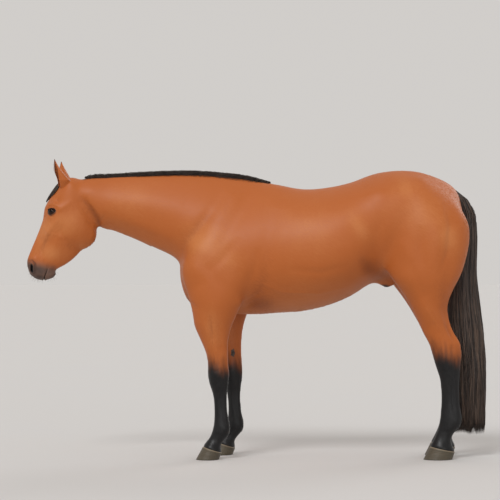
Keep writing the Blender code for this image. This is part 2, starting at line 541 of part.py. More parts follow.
def largest(ob):
    """The object's body with the most faces, alone."""
    name = ob.name
    piece = piece_of(ob, max(loose_parts(ob), key=len), name)
    bpy.data.objects.remove(ob)
    piece.name = name
    return piece


def off_the_flesh(ob):
    """Cut away what of a piece lies in the flesh, with its gap, and keep the main body.

    The swollen skin dips under the plain one at a few creases, so both cut."""
    return largest(cut_by(cut_by(ob, swollen_flesh), plain_flesh))


horse = bpy.data.collections.new("horse")
cutters = bpy.data.collections.new("cutters")
bpy.context.scene.collection.children.link(horse)
bpy.context.scene.collection.children.link(cutters)


def keep_as_cutter(ob):
    for holder in list(ob.users_collection):
        holder.objects.unlink(ob)
    cutters.objects.link(ob)
    ob.hide_render = True
    ob.display_type = "WIRE"
    return ob


# Looks
def finish(name, colour, roughness):
    """A plain Principled material from a display colour in 0 to 255."""
    material = bpy.data.materials.new(name)
    material.use_nodes = True
    shader = material.node_tree.nodes["Principled BSDF"]
    linear = [(c / 255) ** 2.2 for c in colour]
    shader.inputs["Base Color"].default_value = (*linear, 1)
    shader.inputs["Roughness"].default_value = roughness
    shader.inputs["Metallic"].default_value = 0.0
    return material


BAY = finish("bay_coat", (185, 107, 62), 0.55)
POINTS = finish("black_points", (44, 42, 42), 0.6)
HAIR = finish("black_hair", (50, 45, 43), 0.5)
HORN = finish("hoof_horn", (92, 86, 70), 0.45)
EYEBALL = finish("eye", (22, 15, 12), 0.08)


def place(ob, material):
    """Hand a finished piece to the horse's collection with its material."""
    ob.data.materials.clear()
    ob.data.materials.append(material)
    for holder in list(ob.users_collection):
        holder.objects.unlink(ob)
    horse.objects.link(ob)
    return ob


# Flesh, whole
flesh = whole_body()
copies = []
for name in ("plain_flesh", "swollen_flesh"):
    copy = flesh.copy()
    copy.name = name
    copy.data = flesh.data.copy()
    bpy.context.scene.collection.objects.link(copy)
    copies.append(copy)
plain_flesh = keep_as_cutter(copies[0])
grow = copies[1].modifiers.new("grow", "DISPLACE")
grow.strength = GAP
grow.mid_level = 0
swollen_flesh = keep_as_cutter(baked(copies[1], "swollen_flesh"))

# Eyes sit in round sockets
SIDES = {"left": -1, "right": 1}
sockets = []
for side, sign in SIDES.items():
    for name, radius in (("eye_" + side, EYE_RADIUS), ("socket_" + side, EYE_RADIUS + GAP)):
        bm = bmesh.new()
        bmesh.ops.create_uvsphere(bm, u_segments=EYE_SEGMENTS, v_segments=EYE_RINGS, radius=radius)
        bmesh.ops.triangulate(bm, faces=bm.faces)
        bmesh.ops.translate(bm, verts=bm.verts, vec=(EYE[0], EYE[1] * sign, EYE[2]))
        mesh = bpy.data.meshes.new(name)
        bm.to_mesh(mesh)
        bm.free()
        ball = bpy.data.objects.new(name, mesh)
        bpy.context.scene.collection.objects.link(ball)
        if name.startswith("eye"):
            place(ball, EYEBALL)
        else:
            sockets.append(keep_as_cutter(ball))
for socket in sockets:
    flesh = cut_by(flesh, socket)

# Thin cuts part the flesh, and a slab under each coronet makes room for the hoof
CUTS = [
    ((-1.012, 1.640), (-0.872, 1.245)),  # head from neck, behind the jaw
    ((-0.130, 1.650), (-0.455, 1.060)),  # neck from shoulders
    ((0.060, 1.620), (0.060, 0.760)),    # shoulders from barrel, behind the elbow
    ((0.620, 1.680), (0.620, 0.860)),    # barrel from hindquarters, at the flank
    ((-0.480, 0.790), (0.020, 0.790)),   # forearms from the shoulders
    ((-0.400, 0.415), (0.000, 0.415)),   # knee
    ((0.760, 0.925), (1.240, 0.925)),    # gaskins from the hindquarters
    ((0.880, 0.505), (1.260, 0.505)),    # hock
]
slabs = keep_as_cutter(mesh_object("slabs", [box_between(a, b, SLAB_REACH, CUT) for a, b in CUTS]))
feet = []
for rows, back, hinge in ((FORE, RIGHT_FORE_BACK, FORE_HINGE), (HIND, RIGHT_HIND_BACK, HIND_HINGE)):
    for sign in (-1, 1):
        coronet = limb(rows, sign, back, hinge)[-2]
        feet.append((coronet, sign))
under = []
for coronet, sign in feet:
    toe, heel = coronet[0:2], coronet[2:4]
    along = (heel - toe) / np.linalg.norm(heel - toe)
    down = np.array([along[1], -along[0]])
    middle = (toe + heel) / 2 + down * HOOF_ROOM / 2
    reach = along * HOOF_ROOM_HALF[0]
    verts, faces = box_between(middle - reach, middle + reach, HOOF_ROOM_HALF[1], HOOF_ROOM)
    under.append((verts + np.array([0, coronet[4], 0]), faces))
soles = keep_as_cutter(mesh_object("under_coronets", under))
flesh = cut_by(flesh, soles)
flesh = cut_by(flesh, slabs)

# Each body left by the cuts takes the name of the part whose landmark is nearest its middle
LANDMARKS = {
    "head": (-1.10, 0, 1.33),
    "neck": (-0.65, 0, 1.42),
    "shoulders": (-0.15, 0, 1.15),
    "barrel": (0.33, 0, 1.18),
    "hindquarters": (0.86, 0, 1.28),
}
for side, sign in SIDES.items():
    LANDMARKS["forearm_" + side] = (-0.22, 0.15 * sign, 0.60)
    LANDMARKS["cannon_fore_" + side] = (-0.20, 0.145 * sign, 0.24)
    LANDMARKS["gaskin_" + side] = (1.02, 0.15 * sign, 0.72)
    LANDMARKS["cannon_hind_" + side] = (1.08, 0.144 * sign, 0.28)
BLACK = ("cannon",)
named = {}
for part in loose_parts(flesh):
    centres = np.array([flesh.data.polygons[f].center for f in part])
    middle = (centres.min(0) + centres.max(0)) / 2
    nearest = min(LANDMARKS, key=lambda n: np.linalg.norm(middle - np.array(LANDMARKS[n])))
    if nearest not in named or len(part) > len(named[nearest]):
        named[nearest] = part
for name, part in named.items():
    place(piece_of(flesh, part, name), POINTS if name.startswith(BLACK) else BAY)
bpy.data.objects.remove(flesh)

# Hooves: from just under the coronet to a flat ground face
angles = np.linspace(-math.pi, math.pi, HOOF_AROUND, endpoint=False)
GROUNDS = {"fore": GROUND_FORE, "hind": GROUND_HIND}
BACKS = {"fore": RIGHT_FORE_BACK, "hind": RIGHT_HIND_BACK}
for (coronet, sign), pair in zip(feet, ("fore", "fore", "hind", "hind")):
    ground = GROUNDS[pair]
    toe, heel = coronet[0:2], coronet[2:4]
    along = (heel - toe) / np.linalg.norm(heel - toe)
    down = np.array([along[1], -along[0]]) * HOOF_SEAT
    back = BACKS[pair] if sign > 0 else 0.0
    top = coronet.copy()
    top[0:2] = toe + down
    top[2:4] = heel + down
    widths = coronet[5:] + HOOF_FLARE
    bottom = np.array([ground[0] + back, 0, ground[1] + back, 0, coronet[4], *widths])
    rings = [outline(top + (bottom - top) * i / (HOOF_ROWS - 1), angles) for i in range(HOOF_ROWS)]
    side = "left" if sign < 0 else "right"
    place(mesh_object("hoof_" + pair + "_" + side, [skinned(rings)]), HORN)

# Ears: thin-walled cups, open forward and out, cut to sit on the poll
for side, sign in SIDES.items():
    base = np.array(EAR_BASE) * (1, sign, 1)
    tip = np.array(EAR_TIP[side]) * (1, sign, 1)
    facing = np.array([EAR_FACING[0], EAR_FACING[1] * sign, 0.0])
    across = np.array([-EAR_FACING[1] * sign, EAR_FACING[0], 0.0])
    rings = []
    for t in np.linspace(EAR_ROOT, 1, EAR_ROWS):
        sweep = 1 - (1 - max(t, 0)) ** 1.8
        middle = base + (tip - base) * (sweep, t, t)
        middle[1] += EAR_TUCK * sign * min(t, 0)
        depth = EAR_DEPTH * (1 - max(t, 0)) ** 0.9 * (1 + 0.5 * min(t, 0)) + 0.0025
        breadth = depth * (0.76 + 0.50 * math.sin(math.pi * max(t, 0)))
        wall = EAR_WALL * (1 - 0.35 * t)
        opening = math.radians(EAR_OPENING[0] + EAR_OPENING[1] * smoothstep(t, 0.0, 0.7))
        turn = np.linspace(opening, 2 * math.pi - opening, EAR_AROUND)
        outer = [middle + depth * np.cos(a) * facing + breadth * np.sin(a) * across for a in turn]
        depth, breadth = max(depth - wall, 0.0012), max(breadth - wall, 0.0012)
        inner = [middle + depth * np.cos(a) * facing + breadth * np.sin(a) * across for a in turn]
        rings.append(np.array(outer + inner[::-1]))
    ear = mesh_object("ear_" + side, [folded(rings)])
    place(off_the_flesh(ear), BAY)


def hair_strip(name, kept, profile):
    """A closed strip of hair along a form's sections: profile gives, at a fraction of its length
    and for one section, the angles it spans and its height off the skin at each."""
    rings = []
    for i, row in enumerate(kept):
        angles, heights = profile(i / (len(kept) - 1), row)
        outer = [outline(row, np.array([a]), h)[0] for a, h in zip(angles, heights)]
        inner = [outline(row, np.array([a]), -HAIR_SUNK)[0] for a in angles[::-1]]
        rings.append(np.array(outer + inner))
    return place(off_the_flesh(mesh_object(name, [folded(rings)])), HAIR)


def mane_profile(t, row):
    """Up over the crest from its left edge, then down the right side for the mane's drop."""
    depth = np.hypot(row[0] - row[2], row[1] - row[3])
    fade = min(1, t / 0.06, (1 - t) / 0.16)
    lower = math.acos(1 - 2 * MANE_DROP * (0.35 + 0.65 * fade) / depth)
    angles = np.concatenate([np.linspace(-0.42, 0.42, 5), np.linspace(0.42, lower, 7)[1:]])
    heights = [0.003, MANE_RISE * 0.8, MANE_RISE, MANE_RISE * 0.9, MANE_THICK * 1.1]
    heights += list(np.linspace(MANE_THICK, 0.005, 6))
    return angles, np.array(heights) * (0.35 + 0.65 * fade)


def forelock_profile(t, row):
    """Narrow between the ears, fuller on the forehead, and drawn to a point."""
    half = (0.014 + 0.022 * math.sin(math.pi * t)) * (1 - 0.6 * t**3) / row[6]
    angles = np.linspace(-half, half, 7)
    height = FORELOCK_THICK * (0.45 + 0.55 * math.sin(math.pi * (0.15 + 0.80 * t)))
    return angles, 0.003 + height * np.cos(angles / half * math.pi / 2)


crest = [row for row in sections(NECK, 0.048) if MANE_REACH[0] < row[0] < MANE_REACH[1]]
brow = [row for row in sections(HEAD, 0.016) if FORELOCK_REACH[0] < row[1] < FORELOCK_REACH[1]]
hair_strip("mane", crest, mane_profile)
hair_strip("forelock", brow, forelock_profile)
place(off_the_flesh(mesh_object("tail", [loft(TAIL, TAIL_STEP, TAIL_AROUND)])), HAIR)
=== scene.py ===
"""A bay stock horse standing square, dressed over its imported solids: one skin with a short coat laid
on it, glass-dark eyes, horn hooves, and a short black mane, forelock and full tail."""
import math

import bmesh
import bpy
import numpy as np
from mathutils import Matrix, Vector


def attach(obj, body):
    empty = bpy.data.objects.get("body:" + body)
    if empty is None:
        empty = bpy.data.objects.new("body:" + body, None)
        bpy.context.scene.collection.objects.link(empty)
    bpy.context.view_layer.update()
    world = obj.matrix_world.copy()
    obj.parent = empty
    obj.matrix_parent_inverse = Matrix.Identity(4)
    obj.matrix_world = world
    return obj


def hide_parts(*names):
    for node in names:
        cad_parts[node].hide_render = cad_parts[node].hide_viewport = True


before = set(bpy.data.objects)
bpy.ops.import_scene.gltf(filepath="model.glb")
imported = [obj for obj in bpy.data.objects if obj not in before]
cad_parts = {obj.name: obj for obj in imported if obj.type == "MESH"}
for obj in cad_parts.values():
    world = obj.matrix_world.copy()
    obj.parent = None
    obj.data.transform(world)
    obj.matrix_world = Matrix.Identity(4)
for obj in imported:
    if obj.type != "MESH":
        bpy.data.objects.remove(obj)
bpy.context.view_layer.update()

# ------------------------------------------------------------------------------
# Studio.  A pale seamless floor under a pale sky, one broad soft key lamp high on the near side,
# and weaker fills behind and in front, so that the form reads without hard shadows.
# ------------------------------------------------------------------------------
CAMERA_PLACE = (-0.0394, -12.0, 1.1666)
CAMERA_SPAN = 2.818  # metres that the view takes in at the horse's middle
SENSOR = 36.0
FLOOR_REACH = 60.0
SKY = (0.86, 0.83, 0.80)
SKY_STRENGTH = 0.74
LAMPS = [  # name, where it shines from, strength, and its breadth in degrees
    ("key", (-2.5, -6, 7), 1.32, 20),
    ("rim", (5, 6, 5), 0.55, 30),
    ("fill", (2, -8, 1.6), 0.46, 45),
]
LAMP_AIM = (0, 0, 1)
FLOOR_COLOUR = (0.607, 0.596, 0.589)


class Paint:
    """A socket in a material's node tree, so that shader maths is written as plain expressions."""

    def __init__(self, tree, socket=None):
        self.tree = tree
        self.socket = socket

    def node(self, kind, settings=(), feeds=(), out=0):
        """Add a node, its settings set before the values or links of its sockets."""
        made = self.tree.nodes.new("ShaderNode" + kind)
        for name, value in dict(settings).items():
            setattr(made, name, value)
        for name, value in dict(feeds).items():
            if isinstance(value, Paint):
                self.tree.links.new(value.socket, made.inputs[name])
            else:
                made.inputs[name].default_value = value
        return Paint(self.tree, made.outputs[out])

    def maths(self, operation, first, second):
        return self.node("Math", {"operation": operation}, {0: first, 1: second})

    def __add__(self, other):
        return self.maths("ADD", self, other)

    def __radd__(self, other):
        return self.maths("ADD", other, self)

    def __sub__(self, other):
        return self.maths("SUBTRACT", self, other)

    def __rsub__(self, other):
        return self.maths("SUBTRACT", other, self)

    def __mul__(self, other):
        return self.maths("MULTIPLY", self, other)

    def __rmul__(self, other):
        return self.maths("MULTIPLY", other, self)

    def __pow__(self, other):
        return self.maths("POWER", self, other)

    def step(self, low, high):
        """0 below low and 1 above high, with a smooth rise between."""
        return self.node("MapRange", {"interpolation_type": "SMOOTHSTEP"},
                         {0: self, 1: low, 2: high, 3: 0.0, 4: 1.0})

    def mix(self, first, second, amount):
        """A colour between two colours."""
        ends = [end if isinstance(end, Paint) else (*end, 1) for end in (first, second)]
        return self.node("Mix", {"data_type": "RGBA"}, {0: amount, 6: ends[0], 7: ends[1]}, 2)

    def stretched(self, place, along, squeeze):
        """A place's coordinates with lengths along one direction made squeeze times shorter."""
        size = math.sqrt(sum(c * c for c in along))
        unit = tuple(c / size for c in along)
        run = self.node("VectorMath", {"operation": "DOT_PRODUCT"}, {0: place, 1: unit}, 1)
        back = self.node("VectorMath", {"operation": "SCALE"}, {0: unit, "Scale": run * (1 - squeeze)})
        return self.node("VectorMath", {"operation": "SUBTRACT"}, {0: place, 1: back})

    def noise(self, place, scale, detail=2.0, rough=0.5):
        return self.node("TexNoise", (), {"Vector": place, "Scale": scale, "Detail": detail,
                                          "Roughness": rough})


def display(red, green, blue):
    """Linear values of a display colour given in 0 to 255."""
    return tuple((c / 255) ** 2.2 for c in (red, green, blue))


def material(name, paint_it, **fixed):
    """A Principled material: fixed values on its sockets, and what varies from paint_it."""
    made = bpy.data.materials.new(name)
    made.use_nodes = True
    shader = made.node_tree.nodes["Principled BSDF"]
    for socket, value in fixed.items():
        shader.inputs[socket.replace("_", " ")].default_value = value
    for socket, value in paint_it(Paint(made.node_tree)).items():
        made.node_tree.links.new(value.socket, shader.inputs[socket])
    return made


def placed(name, data):
    """A new object in the scene."""
    made = bpy.data.objects.new(name, data)
    bpy.context.scene.collection.objects.link(made)
    return made


def shape(name, verts, faces, paint):
    """A mesh object from points and equal faces, or from faces of several sizes."""
    mesh = bpy.data.meshes.new(name)
    if isinstance(faces, np.ndarray):
        mesh.vertices.add(len(verts))
        mesh.vertices.foreach_set("co", np.asarray(verts, np.float32).ravel())
        count, corners = faces.shape
        mesh.loops.add(count * corners)
        mesh.loops.foreach_set("vertex_index", faces.astype(np.int32).ravel())
        mesh.polygons.add(count)
        mesh.polygons.foreach_set("loop_start", np.arange(0, count * corners, corners, dtype=np.int32))
        mesh.update(calc_edges=True)
    else:
        mesh.from_pydata([tuple(v) for v in verts], [], faces)
    mesh.polygons.foreach_set("use_smooth", np.ones(len(mesh.polygons), bool))
    if paint:
        mesh.materials.append(paint)
    return placed(name, mesh)


FLOOR_CLOUD = display(206, 203, 199)


def floor_paint(p):
    place = p.node("TexCoord", out=3)
    return {"Base Color": p.mix(FLOOR_COLOUR, FLOOR_CLOUD, p.noise(place, 0.8, 3) * 0.5)}


floor_corners = [(FLOOR_REACH * x, FLOOR_REACH * y, 0) for x, y in ((-1, -1), (1, -1), (1, 1), (-1, 1))]
floor = shape("studio_floor", floor_corners, [(0, 1, 2, 3)],
              material("studio_floor", floor_paint, Roughness=0.9))

world = bpy.data.worlds.new("studio")
bpy.context.scene.world = world
world.use_nodes = True
sky = world.node_tree.nodes["Background"].inputs
sky["Color"].default_value = (*SKY, 1)
sky["Strength"].default_value = SKY_STRENGTH
bpy.context.scene.view_settings.view_transform = "Standard"

for name, place, strength, breadth in LAMPS:
    light = bpy.data.lights.new(name, "SUN")
    light.energy = strength
    light.angle = math.radians(breadth)
    aim = Vector(LAMP_AIM) - Vector(place)
    placed(name, light).rotation_euler = aim.to_track_quat("-Z", "Y").to_euler()

lens = bpy.data.cameras.new("camera")
lens.sensor_width = SENSOR
lens.lens = SENSOR / 2 * -CAMERA_PLACE[1] / (CAMERA_SPAN / 2)
camera = placed("camera", lens)
camera.location = CAMERA_PLACE
camera.rotation_euler = (math.pi / 2, 0, 0)
bpy.context.scene.camera = camera


# ------------------------------------------------------------------------------
# The skin.  One closed hide over the whole animal: lofts through the body's sections are joined
# on a fine grid, softened, and given the muscles, then the folds, lids, nostrils, lips and ears.
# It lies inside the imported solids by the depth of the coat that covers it.
# ------------------------------------------------------------------------------
GRID = 0.007  # size of the hide's mesh
FACE_FROM = -0.86  # forward of here the mesh is twice as fine
COAT_DEPTH = 0.0026  # the hide lies this far inside the solids, half as far on the face and legs
SIDES = {"left": -1, "right": 1}  # the sign of y on each side; places are given for the right
EYE = (-1.144, 0.059, 1.380)
EYE_RADIUS = 0.0265
EYE_LOOK = (-0.49, 0.86, 0.14)
NOSTRIL = (-1.2720, 0.046, 1.062)
NOSTRIL_LOOK = (-0.50, 0.85, 0.10)
RIGHT_FORE_BACK = 0.074  # the right feet stand this far behind the left ones
RIGHT_HIND_BACK = 0.030
FORE_HINGE = 1.25  # a limb swings back below these heights
HIND_HINGE = 1.10

# A section's row: x and z of its front or top point, x and z of its back or bottom point, the
# middle's y, and half widths at 0, 45, 90, 135 and 180 degrees round from the first point.
TRUNK = [
    (-0.435, 1.100, -0.425, 1.000, 0, 0.060, 0.095, 0.110, 0.100, 0.070),  # breast
    (-0.400, 1.260, -0.405, 0.900, 0, 0.090, 0.150, 0.190, 0.180, 0.120),
    (-0.340, 1.420, -0.370, 0.850, 0, 0.080, 0.155, 0.225, 0.220, 0.150),
    (-0.240, 1.530, -0.270, 0.825, 0, 0.060, 0.150, 0.235, 0.235, 0.160),
    (-0.120, 1.565, -0.140, 0.805, 0, 0.055, 0.165, 0.258, 0.245, 0.160),  # withers and girth
    (0.000, 1.562, 0.000, 0.802, 0, 0.065, 0.190, 0.275, 0.265, 0.180),
    (0.120, 1.543, 0.120, 0.811, 0, 0.130, 0.235, 0.295, 0.290, 0.210),
    (0.260, 1.517, 0.260, 0.821, 0, 0.190, 0.280, 0.315, 0.310, 0.240),  # back and barrel
    (0.400, 1.527, 0.400, 0.853, 0, 0.210, 0.295, 0.325, 0.315, 0.240),
    (0.540, 1.558, 0.540, 0.910, 0, 0.200, 0.290, 0.315, 0.300, 0.210),  # loin and flank
    (0.660, 1.603, 0.650, 0.977, 0, 0.190, 0.280, 0.290, 0.265, 0.170),  # point of hip
    (0.780, 1.622, 0.780, 1.004, 0, 0.190, 0.275, 0.275, 0.230, 0.140),  # croup
    (0.900, 1.617, 0.900, 0.990, 0, 0.170, 0.255, 0.260, 0.200, 0.120),
    (1.000, 1.588, 1.010, 1.020, 0, 0.140, 0.220, 0.235, 0.170, 0.100),
    (1.080, 1.550, 1.090, 1.000, 0, 0.110, 0.180, 0.200, 0.140, 0.080),
    (1.125, 1.510, 1.140, 1.050, 0, 0.080, 0.145, 0.165, 0.120, 0.070),  # root of the tail
    (1.155, 1.445, 1.165, 1.140, 0, 0.050, 0.090, 0.110, 0.080, 0.050),
]
NECK = [
    (-1.030, 1.560, -0.940, 1.350, 0, 0.042, 0.070, 0.078, 0.068, 0.036),  # throat
    (-0.950, 1.578, -0.885, 1.292, 0, 0.036, 0.073, 0.088, 0.078, 0.044),
    (-0.830, 1.583, -0.810, 1.272, 0, 0.032, 0.070, 0.095, 0.088, 0.052),
    (-0.680, 1.592, -0.690, 1.222, 0, 0.032, 0.074, 0.108, 0.103, 0.060),
    (-0.500, 1.600, -0.570, 1.162, 0, 0.036, 0.086, 0.130, 0.127, 0.076),
    (-0.330, 1.600, -0.470, 1.108, 0, 0.042, 0.105, 0.160, 0.160, 0.100),
    (-0.170, 1.588, -0.425, 1.050, 0, 0.047, 0.125, 0.188, 0.188, 0.120),  # base
    (-0.040, 1.572, -0.370, 0.980, 0, 0.047, 0.135, 0.200, 0.190, 0.120),
    (0.080, 1.545, -0.300, 0.960, 0, 0.040, 0.100, 0.150, 0.150, 0.090),
]
HEAD = [
    (-1.010, 1.578, -0.985, 1.480, 0, 0.020, 0.035, 0.045, 0.035, 0.020),  # poll
    (-1.060, 1.580, -0.965, 1.420, 0, 0.064, 0.080, 0.074, 0.060, 0.035),
    (-1.105, 1.540, -0.935, 1.370, 0, 0.078, 0.093, 0.083, 0.070, 0.040),
    (-1.145, 1.490, -0.905, 1.310, 0, 0.080, 0.097, 0.086, 0.072, 0.042),
    (-1.180, 1.440, -0.897, 1.262, 0, 0.088, 0.104, 0.088, 0.073, 0.040),  # forehead and jaw
    (-1.200, 1.395, -0.908, 1.218, 0, 0.086, 0.103, 0.087, 0.070, 0.036),
    (-1.207, 1.345, -0.940, 1.185, 0, 0.072, 0.092, 0.082, 0.062, 0.032),  # below the eye
    (-1.222, 1.298, -0.985, 1.162, 0, 0.055, 0.078, 0.076, 0.054, 0.028),
    (-1.241, 1.252, -1.010, 1.135, 0, 0.044, 0.064, 0.068, 0.048, 0.025),
    (-1.260, 1.208, -1.040, 1.108, 0, 0.038, 0.054, 0.060, 0.044, 0.024),
    (-1.279, 1.162, -1.075, 1.083, 0, 0.036, 0.048, 0.054, 0.042, 0.024),  # end of the nasal bone
    (-1.295, 1.120, -1.110, 1.065, 0, 0.038, 0.050, 0.052, 0.042, 0.026),
    (-1.299, 1.090, -1.135, 1.050, 0, 0.040, 0.054, 0.053, 0.042, 0.028),  # nostrils
    (-1.291, 1.055, -1.132, 1.028, 0, 0.038, 0.053, 0.052, 0.042, 0.028),
    (-1.275, 1.022, -1.150, 1.006, 0, 0.030, 0.044, 0.044, 0.036, 0.024),
    (-1.240, 0.998, -1.190, 0.994, 0, 0.012, 0.018, 0.018, 0.016, 0.010),  # lips
]
FORE = [
    (-0.170, 1.500, -0.060, 1.490, 0.080, 0.020, 0.030, 0.030, 0.030, 0.020),  # shoulder blade
    (-0.215, 1.430, -0.040, 1.410, 0.105, 0.030, 0.045, 0.050, 0.045, 0.030),
    (-0.305, 1.300, -0.025, 1.280, 0.140, 0.040, 0.065, 0.075, 0.065, 0.040),
    (-0.385, 1.180, -0.015, 1.160, 0.158, 0.060, 0.085, 0.095, 0.090, 0.070),
    (-0.425, 1.070, -0.020, 1.050, 0.170, 0.060, 0.090, 0.100, 0.095, 0.080),  # point of shoulder
    (-0.412, 0.970, -0.045, 0.950, 0.176, 0.060, 0.090, 0.102, 0.095, 0.070),
    (-0.385, 0.890, -0.080, 0.875, 0.178, 0.060, 0.088, 0.098, 0.086, 0.060),
    (-0.362, 0.815, -0.112, 0.800, 0.175, 0.055, 0.078, 0.085, 0.072, 0.045),  # elbow
    (-0.350, 0.745, -0.140, 0.735, 0.168, 0.050, 0.068, 0.072, 0.060, 0.036),
    (-0.318, 0.670, -0.156, 0.665, 0.160, 0.042, 0.056, 0.059, 0.048, 0.028),
    (-0.290, 0.600, -0.158, 0.600, 0.153, 0.038, 0.048, 0.050, 0.041, 0.026),
    (-0.277, 0.535, -0.157, 0.535, 0.149, 0.040, 0.047, 0.047, 0.040, 0.028),
    (-0.276, 0.475, -0.153, 0.475, 0.147, 0.046, 0.051, 0.050, 0.042, 0.030),  # knee
    (-0.268, 0.425, -0.157, 0.425, 0.146, 0.042, 0.046, 0.045, 0.037, 0.028),
    (-0.250, 0.370, -0.164, 0.370, 0.146, 0.030, 0.032, 0.031, 0.028, 0.022),
    (-0.241, 0.300, -0.165, 0.300, 0.145, 0.026, 0.028, 0.027, 0.026, 0.021),  # cannon
    (-0.240, 0.235, -0.158, 0.235, 0.145, 0.028, 0.030, 0.029, 0.028, 0.023),
    (-0.246, 0.180, -0.147, 0.185, 0.145, 0.034, 0.038, 0.038, 0.037, 0.028),  # fetlock
    (-0.256, 0.145, -0.152, 0.142, 0.145, 0.034, 0.038, 0.038, 0.036, 0.028),
    (-0.270, 0.118, -0.178, 0.108, 0.145, 0.030, 0.033, 0.034, 0.031, 0.025),  # pastern
    (-0.287, 0.097, -0.200, 0.078, 0.145, 0.036, 0.040, 0.042, 0.038, 0.032),
    (-0.301, 0.074, -0.196, 0.040, 0.145, 0.052, 0.056, 0.056, 0.050, 0.040),  # coronet
    (-0.308, 0.055, -0.195, 0.020, 0.145, 0.052, 0.056, 0.056, 0.050, 0.040),
]
HIND = [
    (0.820, 1.580, 0.950, 1.575, 0.070, 0.040, 0.060, 0.070, 0.060, 0.040),  # croup
    (0.740, 1.500, 1.050, 1.510, 0.100, 0.060, 0.100, 0.115, 0.090, 0.060),
    (0.700, 1.400, 1.120, 1.430, 0.125, 0.080, 0.125, 0.140, 0.120, 0.080),
    (0.685, 1.280, 1.175, 1.340, 0.147, 0.090, 0.135, 0.150, 0.130, 0.085),
    (0.690, 1.150, 1.188, 1.240, 0.160, 0.100, 0.135, 0.150, 0.130, 0.085),  # thigh and buttock
    (0.715, 1.050, 1.168, 1.120, 0.170, 0.100, 0.130, 0.140, 0.120, 0.080),
    (0.770, 0.965, 1.135, 1.015, 0.176, 0.085, 0.118, 0.122, 0.105, 0.070),  # stifle
    (0.820, 0.895, 1.090, 0.930, 0.174, 0.070, 0.096, 0.100, 0.088, 0.060),
    (0.860, 0.830, 1.064, 0.860, 0.168, 0.060, 0.080, 0.084, 0.072, 0.048),
    (0.892, 0.765, 1.069, 0.790, 0.160, 0.050, 0.066, 0.070, 0.058, 0.036),  # gaskin
    (0.926, 0.695, 1.096, 0.715, 0.154, 0.042, 0.053, 0.055, 0.044, 0.024),
    (0.956, 0.638, 1.133, 0.652, 0.150, 0.042, 0.050, 0.048, 0.036, 0.022),  # point of hock
    (0.974, 0.580, 1.142, 0.590, 0.147, 0.046, 0.052, 0.048, 0.036, 0.024),
    (0.992, 0.520, 1.137, 0.528, 0.146, 0.042, 0.047, 0.044, 0.034, 0.024),
    (1.014, 0.455, 1.131, 0.458, 0.145, 0.034, 0.037, 0.036, 0.030, 0.024),
    (1.023, 0.370, 1.129, 0.370, 0.144, 0.029, 0.032, 0.031, 0.029, 0.023),  # cannon
    (1.022, 0.290, 1.134, 0.290, 0.144, 0.030, 0.032, 0.032, 0.030, 0.025),
    (1.016, 0.225, 1.144, 0.222, 0.144, 0.035, 0.039, 0.040, 0.038, 0.029),  # fetlock
    (1.005, 0.170, 1.129, 0.178, 0.144, 0.034, 0.038, 0.039, 0.037, 0.029),
    (0.990, 0.132, 1.093, 0.138, 0.144, 0.031, 0.034, 0.035, 0.032, 0.026),  # pastern
    (0.975, 0.100, 1.084, 0.095, 0.144, 0.037, 0.041, 0.042, 0.039, 0.032),
    (0.963, 0.074, 1.102, 0.044, 0.144, 0.052, 0.056, 0.056, 0.050, 0.040),  # coronet
    (0.958, 0.055, 1.103, 0.024, 0.144, 0.052, 0.056, 0.056, 0.050, 0.040),
]
SHEATH = [
    (0.662, 1.000, 0.672, 0.975, 0, 0.012, 0.014, 0.014, 0.014, 0.010),
    (0.690, 1.015, 0.704, 0.950, 0, 0.022, 0.028, 0.030, 0.026, 0.016),
    (0.722, 1.020, 0.731, 0.938, 0, 0.028, 0.036, 0.038, 0.030, 0.018),
    (0.760, 1.025, 0.764, 0.955, 0, 0.028, 0.036, 0.038, 0.032, 0.022),
    (0.810, 1.020, 0.810, 0.985, 0, 0.020, 0.028, 0.032, 0.028, 0.020),
]
LOFTS = [(TRUNK, 0.010, 96), (NECK, 0.010, 80), (HEAD, 0.006, 80), (SHEATH, 0.008, 24)]
LIMBS = {"fore": (FORE, RIGHT_FORE_BACK, FORE_HINGE), "hind": (HIND, RIGHT_HIND_BACK, HIND_HINGE)}
FOOT_IN_HOOF = 0.8  # a limb's last section is this much of its width, inside the hoof

